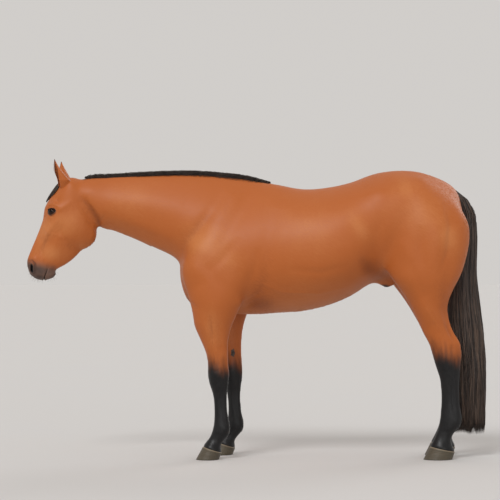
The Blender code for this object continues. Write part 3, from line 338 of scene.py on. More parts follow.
# Muscles and hollows: the side they are drawn on, radius, height in millimetres, and the line they
# follow in that side's plane: x, z; or y, z from the front and back; or x, y on top.
FORMS = [
    ("side", 0.06, -8, [(-0.18, 1.5), (-0.29, 1.33), (-0.38, 1.21), (-0.46, 1.09)]),  # shoulder's front
    ("side", 0.09, 6, [(-0.12, 1.48), (-0.22, 1.33), (-0.32, 1.18), (-0.38, 1.06)]),
    ("side", 0.055, -3, [(-0.03, 1.47), (-0.13, 1.3), (-0.24, 1.14)]),
    ("side", 0.15, 7, [(-0.08, 1.04)]),  # triceps
    ("side", 0.085, -8, [(0.1, 1.4), (0.06, 1.18), (0.0, 1.0), (-0.06, 0.87)]),
    ("side", 0.08, 6, [(-0.36, 1.06)]),
    ("side", 0.05, -4, [(-0.4, 0.9), (-0.35, 0.96), (-0.28, 1.0)]),
    ("side", 0.045, -3, [(-0.33, 1.12), (-0.23, 1.01), (-0.13, 0.91)]),
    ("side", 0.045, 7, [(-0.095, 0.87)]),  # elbow
    ("side", 0.08, -6, [(-0.02, 0.92)]),
    ("side", 0.05, -4, [(-0.9, 1.33), (-0.72, 1.285), (-0.55, 1.225), (-0.43, 1.14)]),  # jugular
    ("side", 0.14, 5, [(-0.85, 1.47), (-0.6, 1.44), (-0.4, 1.42)]),
    ("side", 0.07, 4, [(-0.8, 1.36), (-0.6, 1.28), (-0.46, 1.22)]),
    ("side", 0.045, 3, [(-0.925, 1.5)]),
    ("side", 0.036, -5, [(-1.0, 1.49), (-0.95, 1.41), (-0.89, 1.33), (-0.86, 1.26)]),  # behind the jaw
    ("side", 0.06, 5, [(-0.33, 0.84), (-0.315, 0.76), (-0.285, 0.66), (-0.27, 0.6)]),  # forearm
    ("both", 0.02, -3.5, [(-0.268, 0.86), (-0.258, 0.76), (-0.25, 0.68), (-0.245, 0.56)]),
    ("side", 0.02, -3, [(-0.215, 0.82), (-0.208, 0.72), (-0.2, 0.58)]),
    ("both", 0.045, 3, [(-0.165, 0.82), (-0.168, 0.74), (-0.175, 0.62)]),
    ("both", 0.05, 3, [(-0.23, 0.49)]),
    ("both", 0.017, -3, [(-0.18, 0.57), (-0.174, 0.51), (-0.18, 0.44)]),
    ("both", 0.013, -4, [(-0.193, 0.44), (-0.193, 0.34), (-0.19, 0.28), (-0.176, 0.19)]),  # tendons
    ("both", 0.03, 3, [(-0.172, 0.172)]),
    ("side", 0.09, 9, [(0.665, 1.485)]),  # point of hip
    ("side", 0.12, -11, [(0.585, 1.46), (0.61, 1.34), (0.66, 1.18), (0.7, 1.06)]),  # flank
    ("side", 0.06, 6, [(0.86, 1.02), (0.76, 1.01), (0.66, 1.03), (0.54, 1.04)]),
    ("side", 0.09, 7, [(0.835, 0.99)]),  # stifle
    ("side", 0.05, -6, [(1.04, 1.5), (1.085, 1.36), (1.085, 1.22), (1.06, 1.08), (1.01, 0.93)]),
    ("side", 0.06, -5, [(0.92, 1.3), (0.9, 1.14), (0.925, 0.98), (0.965, 0.83)]),
    ("side", 0.18, 6, [(0.86, 1.48)]),
    ("side", 0.12, 5, [(1.0, 1.24)]),
    ("side", 0.035, -4, [(0.86, 1.07), (0.885, 0.97), (0.93, 0.9)]),
    ("both", 0.06, 5, [(0.9, 0.89), (0.93, 0.83), (0.965, 0.75)]),  # gaskin
    ("both", 0.028, -8, [(1.02, 0.86), (1.048, 0.79), (1.075, 0.72), (1.105, 0.64)]),  # before the hamstring
    ("both", 0.05, 3, [(1.049, 0.565)]),
    ("both", 0.026, -5, [(1.08, 0.615)]),
    ("both", 0.014, -4, [(1.08, 0.52), (1.081, 0.42), (1.084, 0.32), (1.104, 0.23)]),
    ("both", 0.03, 3, [(1.115, 0.205)]),
    ("front", 0.06, -14, [(0, 0.78), (0, 0.94), (0, 1.04), (0, 1.2)]),  # between the breasts
    ("front", 0.08, 9, [(0.08, 0.88), (0.085, 0.98), (0.09, 1.08)]),
    ("front", 0.04, -6, [(0.145, 0.82), (0.15, 0.91), (0.155, 1.0)]),
    ("back", 0.07, -26, [(0, 0.86), (0, 1.05), (0, 1.25), (0, 1.46)]),  # between the buttocks
    ("back", 0.09, 6, [(0.11, 1.0), (0.12, 1.15), (0.12, 1.36)]),
    ("top", 0.055, -5, [(0.6, 0), (0.85, 0), (1.1, 0)]),
    ("top", 0.06, -4, [(0.05, 0), (0.35, 0), (0.65, 0)]),
    ("side", 0.024, -3, [(-1.12, 1.235), (-1.07, 1.212), (-1.03, 1.185), (-1.0, 1.15)]),  # cheek's edge
    ("side", 0.018, 5, [(-1.1, 1.35), (-1.14, 1.305), (-1.175, 1.255), (-1.19, 1.22)]),  # facial crest
    ("side", 0.034, -4, [(-1.2, 1.29), (-1.22, 1.235), (-1.235, 1.17), (-1.24, 1.13)]),
    ("side", 0.022, 6, [(-1.2, 1.385), (-1.17, 1.418), (-1.125, 1.418), (-1.09, 1.39)]),  # brow
    ("side", 0.024, -6, [(-1.118, 1.445)]),  # hollow over the eye
    ("side", 0.022, 4, [(-1.12, 1.385), (-1.07, 1.415), (-1.02, 1.45)]),  # zygomatic arch
    ("side", 0.013, 4, [(-1.298, 1.112), (-1.262, 1.104), (-1.247, 1.07), (-1.256, 1.02)]),  # nostril's rim
    ("side", 0.013, -8, [(-1.274, 1.074)]),  # nostril
    ("side", 0.009, -5, [(-1.208, 0.975), (-1.188, 1.03), (-1.168, 1.09)]),  # corner of the lips
    ("side", 0.02, 3, [(-1.158, 1.03)]),
]

# Finer lines on the finished form: wrinkles, veins and creases, as in FORMS
FOLDS = [
    ("side", 0.02, 3.0, [(-1.13, 1.335), (-1.16, 1.29), (-1.182, 1.245), (-1.196, 1.215)]),  # crest
    ("side", 0.03, -3.0, [(-1.085, 1.3), (-1.135, 1.235), (-1.185, 1.17)]),
    ("side", 0.016, 1.8, [(-1.2, 1.35), (-1.222, 1.28), (-1.244, 1.215), (-1.262, 1.16)]),  # nose
    ("side", 0.014, 1.6, [(-1.186, 1.3), (-1.215, 1.22), (-1.238, 1.14)]),
    ("side", 0.022, -2.5, [(-1.214, 1.225)]),
    ("side", 0.08, 3.5, [(-1.015, 1.305)]),  # cheek
    ("side", 0.018, -3.2, [(-1.106, 1.305), (-1.092, 1.25), (-1.062, 1.205)]),
    ("side", 0.026, -2.6, [(-1.116, 1.446)]),
    ("side", 0.016, 2.4, [(-1.19, 1.4), (-1.168, 1.421), (-1.135, 1.426), (-1.104, 1.408)]),  # brow
    ("side", 0.02, 1.8, [(-1.112, 1.392), (-1.07, 1.416), (-1.03, 1.448)]),
    ("side", 0.016, 2.6, [(-0.985, 1.43), (-0.942, 1.37), (-0.918, 1.31), (-0.922, 1.25),
                          (-0.95, 1.2)]),
    ("side", 0.02, 2.2, [(-1.15, 1.034)]),
    ("side", 0.024, 2.0, [(-1.236, 1.022)]),
    ("side", 0.016, 2.6, [(-1.266, 1.126), (-1.244, 1.118)]),  # over the nostril
    ("side", 0.008, -3.4, [(-1.29, 1.108), (-1.264, 1.11), (-1.245, 1.09), (-1.244, 1.055),
                           (-1.252, 1.02)]),
    ("side", 0.012, 1.4, [(-1.072, 1.222), (-1.12, 1.248), (-1.175, 1.262), (-1.205, 1.3)]),  # face vein
    ("side", 0.01, -2.0, [(-1.222, 1.19), (-1.205, 1.15), (-1.205, 1.115)]),
    ("side", 0.009, -2.2, [(-1.186, 1.066), (-1.196, 1.096), (-1.19, 1.12)]),
    ("side", 0.012, -3.5, [(-1.146, 1.075), (-1.136, 1.056), (-1.128, 1.04)]),  # chin groove
    ("side", 0.012, -2.5, [(-1.176, 1.372), (-1.192, 1.352), (-1.2, 1.33)]),  # tear's path
    ("side", 0.014, 2.0, [(-1.262, 1.114), (-1.236, 1.12), (-1.215, 1.145)]),
    ("side", 0.016, -2.5, [(-0.985, 1.47), (-0.958, 1.44), (-0.935, 1.395)]),
    ("side", 0.016, -4.0, [(-0.978, 1.455), (-0.924, 1.392), (-0.892, 1.34), (-0.884, 1.29)]),
    ("side", 0.014, -2.5, [(-0.965, 1.33), (-0.915, 1.29), (-0.88, 1.25)]),  # throat
    ("side", 0.014, -2.0, [(-0.905, 1.3), (-0.87, 1.33), (-0.845, 1.375)]),
    ("side", 0.028, -5.2, [(1.04, 1.43), (1.066, 1.3), (1.05, 1.15), (1.0, 1.01)]),  # hamstring
    ("side", 0.04, 3.0, [(0.99, 1.33), (0.985, 1.18), (0.96, 1.06)]),
    ("side", 0.045, -5.0, [(-0.24, 1.39), (-0.31, 1.32), (-0.389, 1.225), (-0.43, 1.11)]),
    ("side", 0.038, -4.8, [(-0.1, 1.24), (-0.18, 1.13), (-0.27, 1.04)]),  # triceps
    ("side", 0.04, -5.0, [(0.0, 1.18), (-0.015, 1.06), (-0.06, 0.95)]),
    ("side", 0.055, -5.5, [(0.655, 1.12), (0.67, 1.25), (0.69, 1.38)]),  # flank
    ("side", 0.05, 3.0, [(0.79, 1.23), (0.85, 1.1)]),
    ("side", 0.045, -4.6, [(0.905, 1.3), (0.9, 1.17), (0.915, 1.06)]),
    ("side", 0.03, -3.0, [(0.15, 1.06), (0.35, 1.04), (0.52, 1.08)]),  # ribs' end
    ("both", 0.008, -3.2, [(-0.206, 0.405), (-0.209, 0.33), (-0.204, 0.25)]),  # tendons
    ("both", 0.008, -3.2, [(1.087, 0.45), (1.087, 0.36), (1.093, 0.27)]),
    ("side", 0.012, -3.4, [(-0.258, 0.81), (-0.25, 0.72), (-0.246, 0.64)]),  # forearm
    ("side", 0.012, -3.6, [(1.04, 0.76), (1.074, 0.7), (1.104, 0.645)]),  # gaskin
    ("both", 0.013, 2.6, [(-0.262, 0.52), (-0.266, 0.48)]),  # knee
    ("both", 0.01, -2.2, [(-0.27, 0.5), (-0.24, 0.494), (-0.205, 0.498)]),
    ("both", 0.01, -2.2, [(-0.262, 0.425), (-0.235, 0.42), (-0.205, 0.425)]),
    ("both", 0.012, 2.6, [(1.016, 0.56), (1.031, 0.53)]),  # hock
    ("both", 0.01, -2.4, [(1.06, 0.61), (1.075, 0.57), (1.07, 0.53)]),
    ("both", 0.01, -2.0, [(1.002, 0.505), (1.038, 0.49), (1.074, 0.492)]),
    ("side", 0.018, -4.0, [(-0.415, 0.895), (-0.365, 0.865), (-0.33, 0.835)]),  # breast
    ("side", 0.018, -4.0, [(-0.075, 0.835), (-0.035, 0.865), (0.01, 0.89)]),  # armpit
    ("side", 0.018, -3.0, [(-0.07, 0.865), (-0.015, 0.905), (0.03, 0.94)]),
    ("side", 0.016, 2.2, [(-0.02, 1.0), (0.14, 0.93), (0.35, 0.925), (0.52, 0.965)]),  # belly vein
    ("side", 0.02, -3.0, [(0.735, 0.955), (0.7, 0.985), (0.655, 1.01)]),
    ("both", 0.011, 2.0, [(-0.315, 0.79), (-0.272, 0.7), (-0.258, 0.6)]),
    ("both", 0.011, 2.0, [(0.905, 0.88), (0.965, 0.79), (1.03, 0.7)]),
    ("both", 0.014, -2.0, [(-0.255, 0.455), (-0.225, 0.435), (-0.195, 0.45)]),
    ("both", 0.012, 2.5, [(-0.172, 0.505), (-0.166, 0.525)]),
    ("both", 0.012, -1.5, [(-0.262, 0.15), (-0.215, 0.138), (-0.165, 0.14)]),
    ("both", 0.012, -1.5, [(1.002, 0.165), (1.055, 0.155), (1.105, 0.165)]),
]


def smoothstep(x, a, b):
    """0 below a and 1 above b, with a smooth rise between."""
    t = np.clip((x - a) / (b - a), 0, 1)
    return t * t * (3 - 2 * t)


def fade(x, a, b):
    """1 below a and 0 above b, with a smooth fall between."""
    return 1 - smoothstep(x, a, b)


def unit(v):
    """Vectors made one long."""
    v = np.asarray(v, float)
    return v / np.maximum(np.linalg.norm(v, axis=-1, keepdims=True), 1e-9)


def bell(x, middle, width, sharp=1.0):
    """1 at the middle, falling off to both sides."""
    return np.exp(-sharp * ((x - middle) / width) ** 2)


def mirrored(place, sign):
    """A place or direction, given for the right side, on the side with this sign."""
    return np.array(place) * (1, sign, 1)


def through(keys, rows, at):
    """Read, at the places in at, the smooth curve that passes through rows at keys."""
    keys, rows = np.asarray(keys, float), np.asarray(rows, float)
    slope = np.gradient(rows, keys, axis=0)
    i = np.clip(np.searchsorted(keys, at, side="right") - 1, 0, len(keys) - 2)
    h = (keys[i + 1] - keys[i])[:, None]
    t = (at - keys[i])[:, None] / h
    start = (2 * t**3 - 3 * t**2 + 1) * rows[i] + (t**3 - 2 * t**2 + t) * h * slope[i]
    end = (3 * t**2 - 2 * t**3) * rows[i + 1] + (t**3 - t**2) * h * slope[i + 1]
    return start + end


class Form:
    """A lofted form: its sections can be read at any part of its length from 0 to 1."""

    def __init__(self, rows):
        self.rows = np.asarray(rows, float)
        middle = np.stack([self.rows[:, 0] + self.rows[:, 2], 2 * self.rows[:, 4],
                           self.rows[:, 1] + self.rows[:, 3]], 1) / 2
        run = np.cumsum(np.linalg.norm(np.diff(middle, axis=0), axis=1))
        self.length = run[-1]
        self.keys = np.concatenate([[0], run]) / self.length

    def at(self, parts):
        return through(self.keys, self.rows, np.asarray(parts, float))

    def surface(self, parts, angles, out=0.0):
        """Points at parts of the length and angles round, out metres off the surface."""
        parts, angles, out = np.broadcast_arrays(parts, angles, out)
        rows = self.at(parts.ravel())
        a, off = angles.ravel(), out.ravel()
        share = through(np.linspace(0, math.pi, 5), np.eye(5), np.minimum(np.abs(a), math.pi))
        width = (share * rows[:, 5:10]).sum(1)
        first, last = rows[:, 0:2], rows[:, 2:4]
        flat = last + (first - last) * ((1 + np.cos(a)) / 2)[:, None]
        flat = flat + unit(first - last) * (off * np.cos(a))[:, None]
        y = rows[:, 4] + (width + off) * np.sin(a)
        return np.stack([flat[:, 0], y, flat[:, 1]], 1).reshape(*angles.shape, 3)

    def middle(self, parts):
        rows = self.at(np.ravel(parts))
        centre = np.stack([rows[:, 0] + rows[:, 2], 2 * rows[:, 4], rows[:, 1] + rows[:, 3]], 1) / 2
        return centre.reshape(*np.shape(parts), 3)

    def loft(self, step, around):
        """Rings a step apart with fanned ends, as points and faces."""
        count = max(2, int(self.length / step) + 1)
        parts = np.linspace(0, 1, count)[:, None]
        angles = np.linspace(-math.pi, math.pi, around, endpoint=False)[None]
        return skinned(self.surface(parts, angles))


def ring_faces(count, around, start=0):
    """Quads between rings of points, each ring closed."""
    i, j = np.meshgrid(np.arange(count - 1), np.arange(around), indexing="ij")
    a = start + i * around + j
    b = start + i * around + (j + 1) % around
    return np.stack([a, b, b + around, a + around], -1).reshape(-1, 4)


def skinned(rings):
    """Close rings of points into one body with a fan over each end."""
    count, around = rings.shape[:2]
    verts = np.concatenate([rings.reshape(-1, 3), [rings[0].mean(0), rings[-1].mean(0)]])
    faces = ring_faces(count, around).tolist()
    first, last = count * around, (count - 1) * around
    for j in range(around):
        after = (j + 1) % around
        faces += [(first, after, j), (first + 1, last + j, last + after)]
    return verts, faces


def joined(pieces):
    """Several (points, faces) as one."""
    verts, faces, start = [], [], 0
    for points, sides in pieces:
        verts.append(points)
        faces += [[start + k for k in face] for face in sides]
        start += len(points)
    return np.concatenate(verts), faces


def turned_out(ob):
    """Turn an object's faces to look outward."""
    bm = bmesh.new()
    bm.from_mesh(ob.data)
    bmesh.ops.recalc_face_normals(bm, faces=bm.faces)
    bm.to_mesh(ob.data)
    bm.free()
    return ob


def lean(z, hinge):
    """How much of a limb's swing back it has at height z."""
    return smoothstep(hinge - z, 0, hinge / 2)


def limb(rows, sign, back, hinge, foot=1.0):
    """A limb's rows on one side, swung back on the right; foot narrows what goes into the hoof."""
    rows = np.array(rows, float)
    rows[-1, 5:] *= foot
    inner = (rows[-1, 2:4] - rows[-1, 0:2]) * (1 - foot) / 2
    rows[-1, 0:2] += inner
    rows[-1, 2:4] -= inner
    if sign > 0:
        swing = back * lean((rows[:, 1] + rows[:, 3]) / 2, hinge)
        rows[:, 0] += swing
        rows[:, 2] += swing
    rows[:, 4] *= sign
    return rows


def baked(ob):
    """Replace an object by a plain mesh of what its modifiers make of it."""
    name = ob.name
    made = bpy.data.meshes.new_from_object(ob.evaluated_get(bpy.context.evaluated_depsgraph_get()))
    old = ob.data
    bpy.data.objects.remove(ob)
    bpy.data.meshes.remove(old)
    made.name = name
    return placed(name, made)


def points(ob, what="co"):
    """An object's points, or their normals."""
    values = np.zeros(len(ob.data.vertices) * 3, np.float32)
    ob.data.vertices.foreach_get(what, values)
    return values.reshape(-1, 3).astype(float)


def move_to(ob, co):
    ob.data.vertices.foreach_set("co", co.astype(np.float32).ravel())
    ob.data.update()


def edge_ends(ob):
    ends = np.zeros(len(ob.data.edges) * 2, np.int32)
    ob.data.edges.foreach_get("vertices", ends)
    return ends.reshape(-1, 2)


def soften(ob, times, weight=1.0, pull=0.5):
    """Draw each point towards the mean of its neighbours, as far as its weight allows."""
    co = points(ob)
    a, b = edge_ends(ob).T
    count = np.bincount(a, minlength=len(co)) + np.bincount(b, minlength=len(co))
    weight = np.broadcast_to(weight, len(co))[:, None] * pull
    for _ in range(times):
        total = np.empty_like(co)
        for axis in range(3):
            total[:, axis] = (np.bincount(a, co[b, axis], len(co)) + np.bincount(b, co[a, axis], len(co)))
        co += (total / count[:, None] - co) * weight
    move_to(ob, co)


def refine(ob, picked):
    """Halve the faces whose corners are all picked."""
    bm = bmesh.new()
    bm.from_mesh(ob.data)
    edges = [e for e in bm.edges if picked[e.verts[0].index] and picked[e.verts[1].index]]
    bmesh.ops.subdivide_edges(bm, edges=edges, cuts=1, use_grid_fill=True)
    bm.to_mesh(ob.data)
    bm.free()


def line_fullness(p, line):
    """Distance of plane points from a line, and a stroke's fullness there, fading to its ends."""
    line = np.asarray(line, float)
    if len(line) == 1:
        return np.hypot(*(p - line[0]).T), np.ones(len(p))
    steps = np.hypot(*np.diff(line, axis=0).T)
    best, place, done = np.full(len(p), np.inf), np.zeros(len(p)), 0.0
    for a, b, length in zip(line[:-1], line[1:], steps):
        t = np.clip(((p - a) @ (b - a)) / length**2, 0, 1)
        distance = np.hypot(*(p - a - t[:, None] * (b - a)).T)
        near = distance < best
        best[near] = distance[near]
        place[near] = (done + t[near] * length) / steps.sum()
        done += length
    return best, np.sin(math.pi * place) ** 0.7


def squared(co):
    """Points with the right limbs swung forward to match the left ones."""
    co = co.copy()
    right = co[:, 1] > 0
    fore, hind = right & (co[:, 0] < 0.3), right & (co[:, 0] > 0.5)
    co[fore, 0] -= RIGHT_FORE_BACK * lean(co[fore, 2], FORE_HINGE)
    co[hind, 0] -= RIGHT_HIND_BACK * lean(co[hind, 2], HIND_HINGE)
    return co


def stroke_all(ob, strokes):
    """Raise and hollow the skin along strokes."""
    co, normal = points(ob), points(ob, "normal")
    x, _, z = squared(co).T
    y = np.abs(co[:, 1])
    outward = normal[:, 1] * np.sign(co[:, 1])
    side_plane = np.stack([x, z], 1)
    views = {
        "side": (side_plane, smoothstep(outward, -0.1, 0.45)),
        "both": (side_plane, smoothstep(np.abs(outward), 0.1, 0.45)),
        "front": (np.stack([y, z], 1), smoothstep(-normal[:, 0], 0, 0.5) * (x < -0.2) * (x > -0.6)),
        "back": (np.stack([y, z], 1), smoothstep(normal[:, 0], 0, 0.5) * (x > 0.95)),
        "top": (np.stack([x, y], 1), smoothstep(normal[:, 2], 0.2, 0.7)),
    }
    lift = np.zeros(len(co))
    for view, radius, height, line in strokes:
        plane, facing = views[view]
        distance, fullness = line_fullness(plane, line)
        lift += height * 0.001 * facing * fullness * bell(distance, 0, radius, 2.2)
    move_to(ob, co + normal * lift[:, None])


pieces = [Form(rows).loft(step, count) for rows, step, count in LOFTS]
for sign in SIDES.values():
    for rows, back, hinge in LIMBS.values():
        pieces.append(Form(limb(rows, sign, back, hinge, FOOT_IN_HOOF)).loft(0.008, 56))
hide = turned_out(shape("hide", *joined(pieces), None))
close = hide.modifiers.new("close", "REMESH")
close.mode = "VOXEL"
close.voxel_size = GRID
hide = baked(hide)

# Run the joined forms into each other: the trunk and limbs most, and the poll behind the ears
co = points(hide)
soften(hide, 80, smoothstep(co[:, 2], 0.80, 0.98) * smoothstep(co[:, 0], -0.80, -0.55))
soften(hide, 6)
stroke_all(hide, FORMS)
co = points(hide)
poll = smoothstep(co[:, 0], -1.15, -1.06) * fade(co[:, 0], -0.90, -0.80)
soften(hide, 20, poll * smoothstep(co[:, 2], 1.36, 1.48))
soften(hide, 2)


def directions(look):
    """A feature's own directions: rearward, up, and out along its look."""
    out = unit(look)
    rear = unit(np.array([1.0, 0, 0]) - out[0] * out)
    up = np.cross(out, rear)
    return rear, up * np.sign(up[2]), out


def rim(a, b, radii):
    """Distance outside a closed outline, given by radii at equal angles from rearward through up,
    and the angle."""
    angle = np.arctan2(b, a)
    keys = np.linspace(0, 2 * math.pi, len(radii) + 1)
    ends = np.array([*radii, radii[0]])
    wrapped = np.concatenate([keys[-3:-1] - 2 * math.pi, keys, keys[1:3] + 2 * math.pi])
    values = np.concatenate([ends[-3:-1], ends, ends[1:3]])
    radius = through(wrapped, values[:, None], angle % (2 * math.pi))[:, 0]
    return np.hypot(a, b) - radius, angle


# Radii of the openings between the lids and of a nostril, from rearward through up
LID_OPENING = [0.0235, 0.0215, 0.0162, 0.0146, 0.0158, 0.0208, 0.0252, 0.0202, 0.018, 0.0176, 0.0174, 0.02]
NOSTRIL_OPENING = [0.014, 0.0185, 0.0262, 0.027, 0.019, 0.0145, 0.0132, 0.015, 0.02, 0.0245,
                   0.0205, 0.015]
LIDS = (EYE, EYE_LOOK, LID_OPENING)
NOSTRILS = (NOSTRIL, NOSTRIL_LOOK, NOSTRIL_OPENING)
LIPS = [(-1.212, 0.970), (-1.200, 1.000), (-1.186, 1.035), (-1.169, 1.074)]
MOUTH_CORNER = (1.030, 1.078)  # the parting of the lips dies out between these heights


def beside(co, feature, sign):
    """Places near a feature on one side: rearward, up and out of it, how far outside its opening,
    and the angle round it."""
    centre, look, opening = feature
    rear, up, out = directions(mirrored(look, sign))
    d = co - mirrored(centre, sign)
    a, b, h = d @ rear, d @ up, d @ out
    return a, b, h, *rim(a, b, opening)


# The face's mesh is made finer in stages, most at the lids, nostrils and lips
def near_features(co, eye, nostril, lips):
    """Whether places are within these distances of an eye, a nostril or the lips."""
    picked = np.zeros(len(co), bool)
    for sign in SIDES.values():
        picked |= np.linalg.norm(co - mirrored(EYE, sign), axis=1) < eye
        picked |= np.linalg.norm(co - mirrored(NOSTRIL, sign), axis=1) < nostril
    distance, _ = line_fullness(co[:, [0, 2]], LIPS)
    return picked | (distance < lips)


refine(hide, points(hide)[:, 0] < FACE_FROM)
refine(hide, near_features(points(hide), 0.058, 0.050, 0.016))
refine(hide, near_features(points(hide), 0.046, 0.042, 0.009))
soften(hide, 6, smoothstep(-points(hide)[:, 0], 0.86, 0.95))
jaw, _ = line_fullness(points(hide)[:, [0, 2]], [(-1.02, 1.52), (-0.97, 1.43), (-0.91, 1.34), (-0.88, 1.24)])
soften(hide, 30, fade(jaw, 0.018, 0.050))
stroke_all(hide, FOLDS)

# Draw the hide in under its coat
co, normal = points(hide), points(hide, "normal")
fine = np.maximum(smoothstep(co[:, 0], -0.95, -1.10), smoothstep(co[:, 2], 0.60, 0.45))
move_to(hide, co - normal * (COAT_DEPTH * (1 - 0.5 * fine))[:, None])

# Lids: the hide rides up over the ball and turns in behind it at the opening
LID_THICK = 0.0030
LID_FULLER = 0.0022  # the upper lid's middle is this much thicker
LID_GAP = 0.0012  # between the ball and the lids' edges
LID_EDGE = 0.005  # a lid comes to its full thickness in this width
LID_BLEND = 0.006  # how softly the lids run into the face
LID_SINK = 0.0012  # takes back what the blend adds
LID_REACH = (0.030, 0.056)  # the lids' shape fades out between these distances from the middle
BEHIND_LIDS = 0.0045  # how far under the ball's surface the hide goes in the opening
LID_FOLDS = [  # how far out from the opening, width, depth, and the angles it spans
    (0.0075, 0.0022, 0.0028, 15, 168),
    (0.0145, 0.0026, 0.0012, 40, 150),
    (0.0215, 0.0034, 0.0007, 55, 135),
    (0.0075, 0.0022, 0.0012, 200, 345),
    (0.0135, 0.0026, 0.0007, 215, 330),
]
FOLD_END = 30  # degrees over which a fold dies out
FOLD_ROLL = (1.9, 0.4)  # the roll outside a fold: how many widths off, and its share of the depth

# Nostrils: a rim that is fullest at the wing, a crease outside it, and a pit
NOSTRIL_DEPTH = 0.018
NOSTRIL_REACH = (-0.03, 0.06)  # how far in it starts, and how far round it goes
NOSTRIL_RIM = (0.0026, 0.0034)  # height, and how much more there is at the wing
RIM_PLACE = (0.003, 0.005)  # how far outside the opening, and width
CREASE_DEEP = 0.0018
CREASE_PLACE = (0.0135, 0.004)

# Lips: a groove between two low rolls
MUZZLE_FROM = -1.10
LIP_GROOVE = (0.0048, 0.0, 0.0020)  # depth, how far from the parting, and width
LIP_ROLL = (0.0016, 0.0065, 0.0035)
co, normal = points(hide), points(hide, "normal")
for sign in SIDES.values():
    a, b, h, apart, angle = beside(co, LIDS, sign)
    away = np.hypot(a, b)
    turn = np.degrees(angle) % 360
    near = (h > 0) & (away < LID_REACH[1])
    thick = LID_THICK + LID_FULLER * np.maximum(np.sin(angle), 0)
    shell = EYE_RADIUS + LID_GAP + (thick - LID_GAP) * smoothstep(apart, 0.0, LID_EDGE)
    tent = np.sqrt(np.maximum(shell**2 - a**2 - b**2, 0))
    ball = np.sqrt(np.maximum(EYE_RADIUS**2 - a**2 - b**2, 0))
    above = (h + tent + np.sqrt((h - tent) ** 2 + LID_BLEND**2)) / 2 - LID_SINK
    above = np.where(away < shell, above, h + (above - h) * smoothstep(away, *LID_REACH[::-1]))
    for far, wide, deep, start, stop in LID_FOLDS:
        span = smoothstep(turn, start, start + FOLD_END) * fade(turn, stop - FOLD_END, stop)
        above = above - deep * span * bell(apart, far, wide)
        above = above + FOLD_ROLL[1] * deep * span * bell(apart - far, FOLD_ROLL[0] * wide, wide)
    height = ball - BEHIND_LIDS + (above - ball + BEHIND_LIDS) * smoothstep(apart, -0.0016, 0.0004)
    co[near] += (height - h)[near, None] * unit(mirrored(EYE_LOOK, sign))

    a, b, h, apart, angle = beside(co, NOSTRILS, sign)
    away = np.hypot(a, b)
    near = (h > NOSTRIL_REACH[0]) & (away < NOSTRIL_REACH[1]) & (co[:, 1] * sign > 0)
    high = NOSTRIL_RIM[0] + NOSTRIL_RIM[1] * np.maximum(np.cos(angle - 0.7), 0)
    lip = high * bell(apart, *RIM_PLACE)
    lip = lip - CREASE_DEEP * np.maximum(np.cos(angle - 0.3), 0) * bell(apart, *CREASE_PLACE)
    within = away / np.maximum(away - apart, 0.001)
    pit = NOSTRIL_DEPTH * smoothstep(1 - within, 0.0, 0.75)
    co[near] += (lip - pit)[near, None] * unit(mirrored(NOSTRIL_LOOK, sign))
muzzle = co[:, 0] < MUZZLE_FROM
gap, _ = line_fullness(co[:, [0, 2]], LIPS)
ends = fade(co[:, 2], *MOUTH_CORNER)
groove = LIP_ROLL[0] * bell(gap, *LIP_ROLL[1:]) - LIP_GROOVE[0] * bell(gap, *LIP_GROOVE[1:])
co[muzzle] += normal[muzzle] * (groove * ends)[muzzle, None]
move_to(hide, co)
soften(hide, 2, near_features(co, 0.05, 0.045, 0.010) * 1.0, 0.35)

# Ears: thin cups open forward and out, joined to the poll
EAR_BASE = (-1.079, 0.051, 1.558)
EAR_TIP = {"left": (-1.135, 0.070, 1.675), "right": (-1.110, 0.074, 1.668)}
EAR_DEPTH = 0.034  # half its breadth at the base, seen from the side
EAR_ROOT = -0.50  # it starts this far below its base, in its own heights
EAR_FACING = (-0.90, 0.43)  # x and y of the way its opening faces
EAR_SPREAD = 0.030  # how far its root runs out to the side, in its own heights
EAR_OPENING = (22, 54)  # half the opening in degrees at the base, and what it gains above
EAR_FLARE = 0.004  # how much wider it is at the poll
EAR_WALL = 0.0042
EAR_LEAST = 0.0011  # the least half breadth of anything in it
EAR_ROWS, EAR_AROUND = 64, 30


def folded(rings):
    """Close rings that run out along a sheet and back, with a strip across each end."""
    count, around = rings.shape[:2]
    faces = ring_faces(count, around).tolist()
    last = (count - 1) * around
    for j in range(around // 2 - 1):
        strip = (j, j + 1, around - 2 - j, around - 1 - j)
        faces += [strip, [last + k for k in strip[::-1]]]
    return rings.reshape(-1, 3), faces


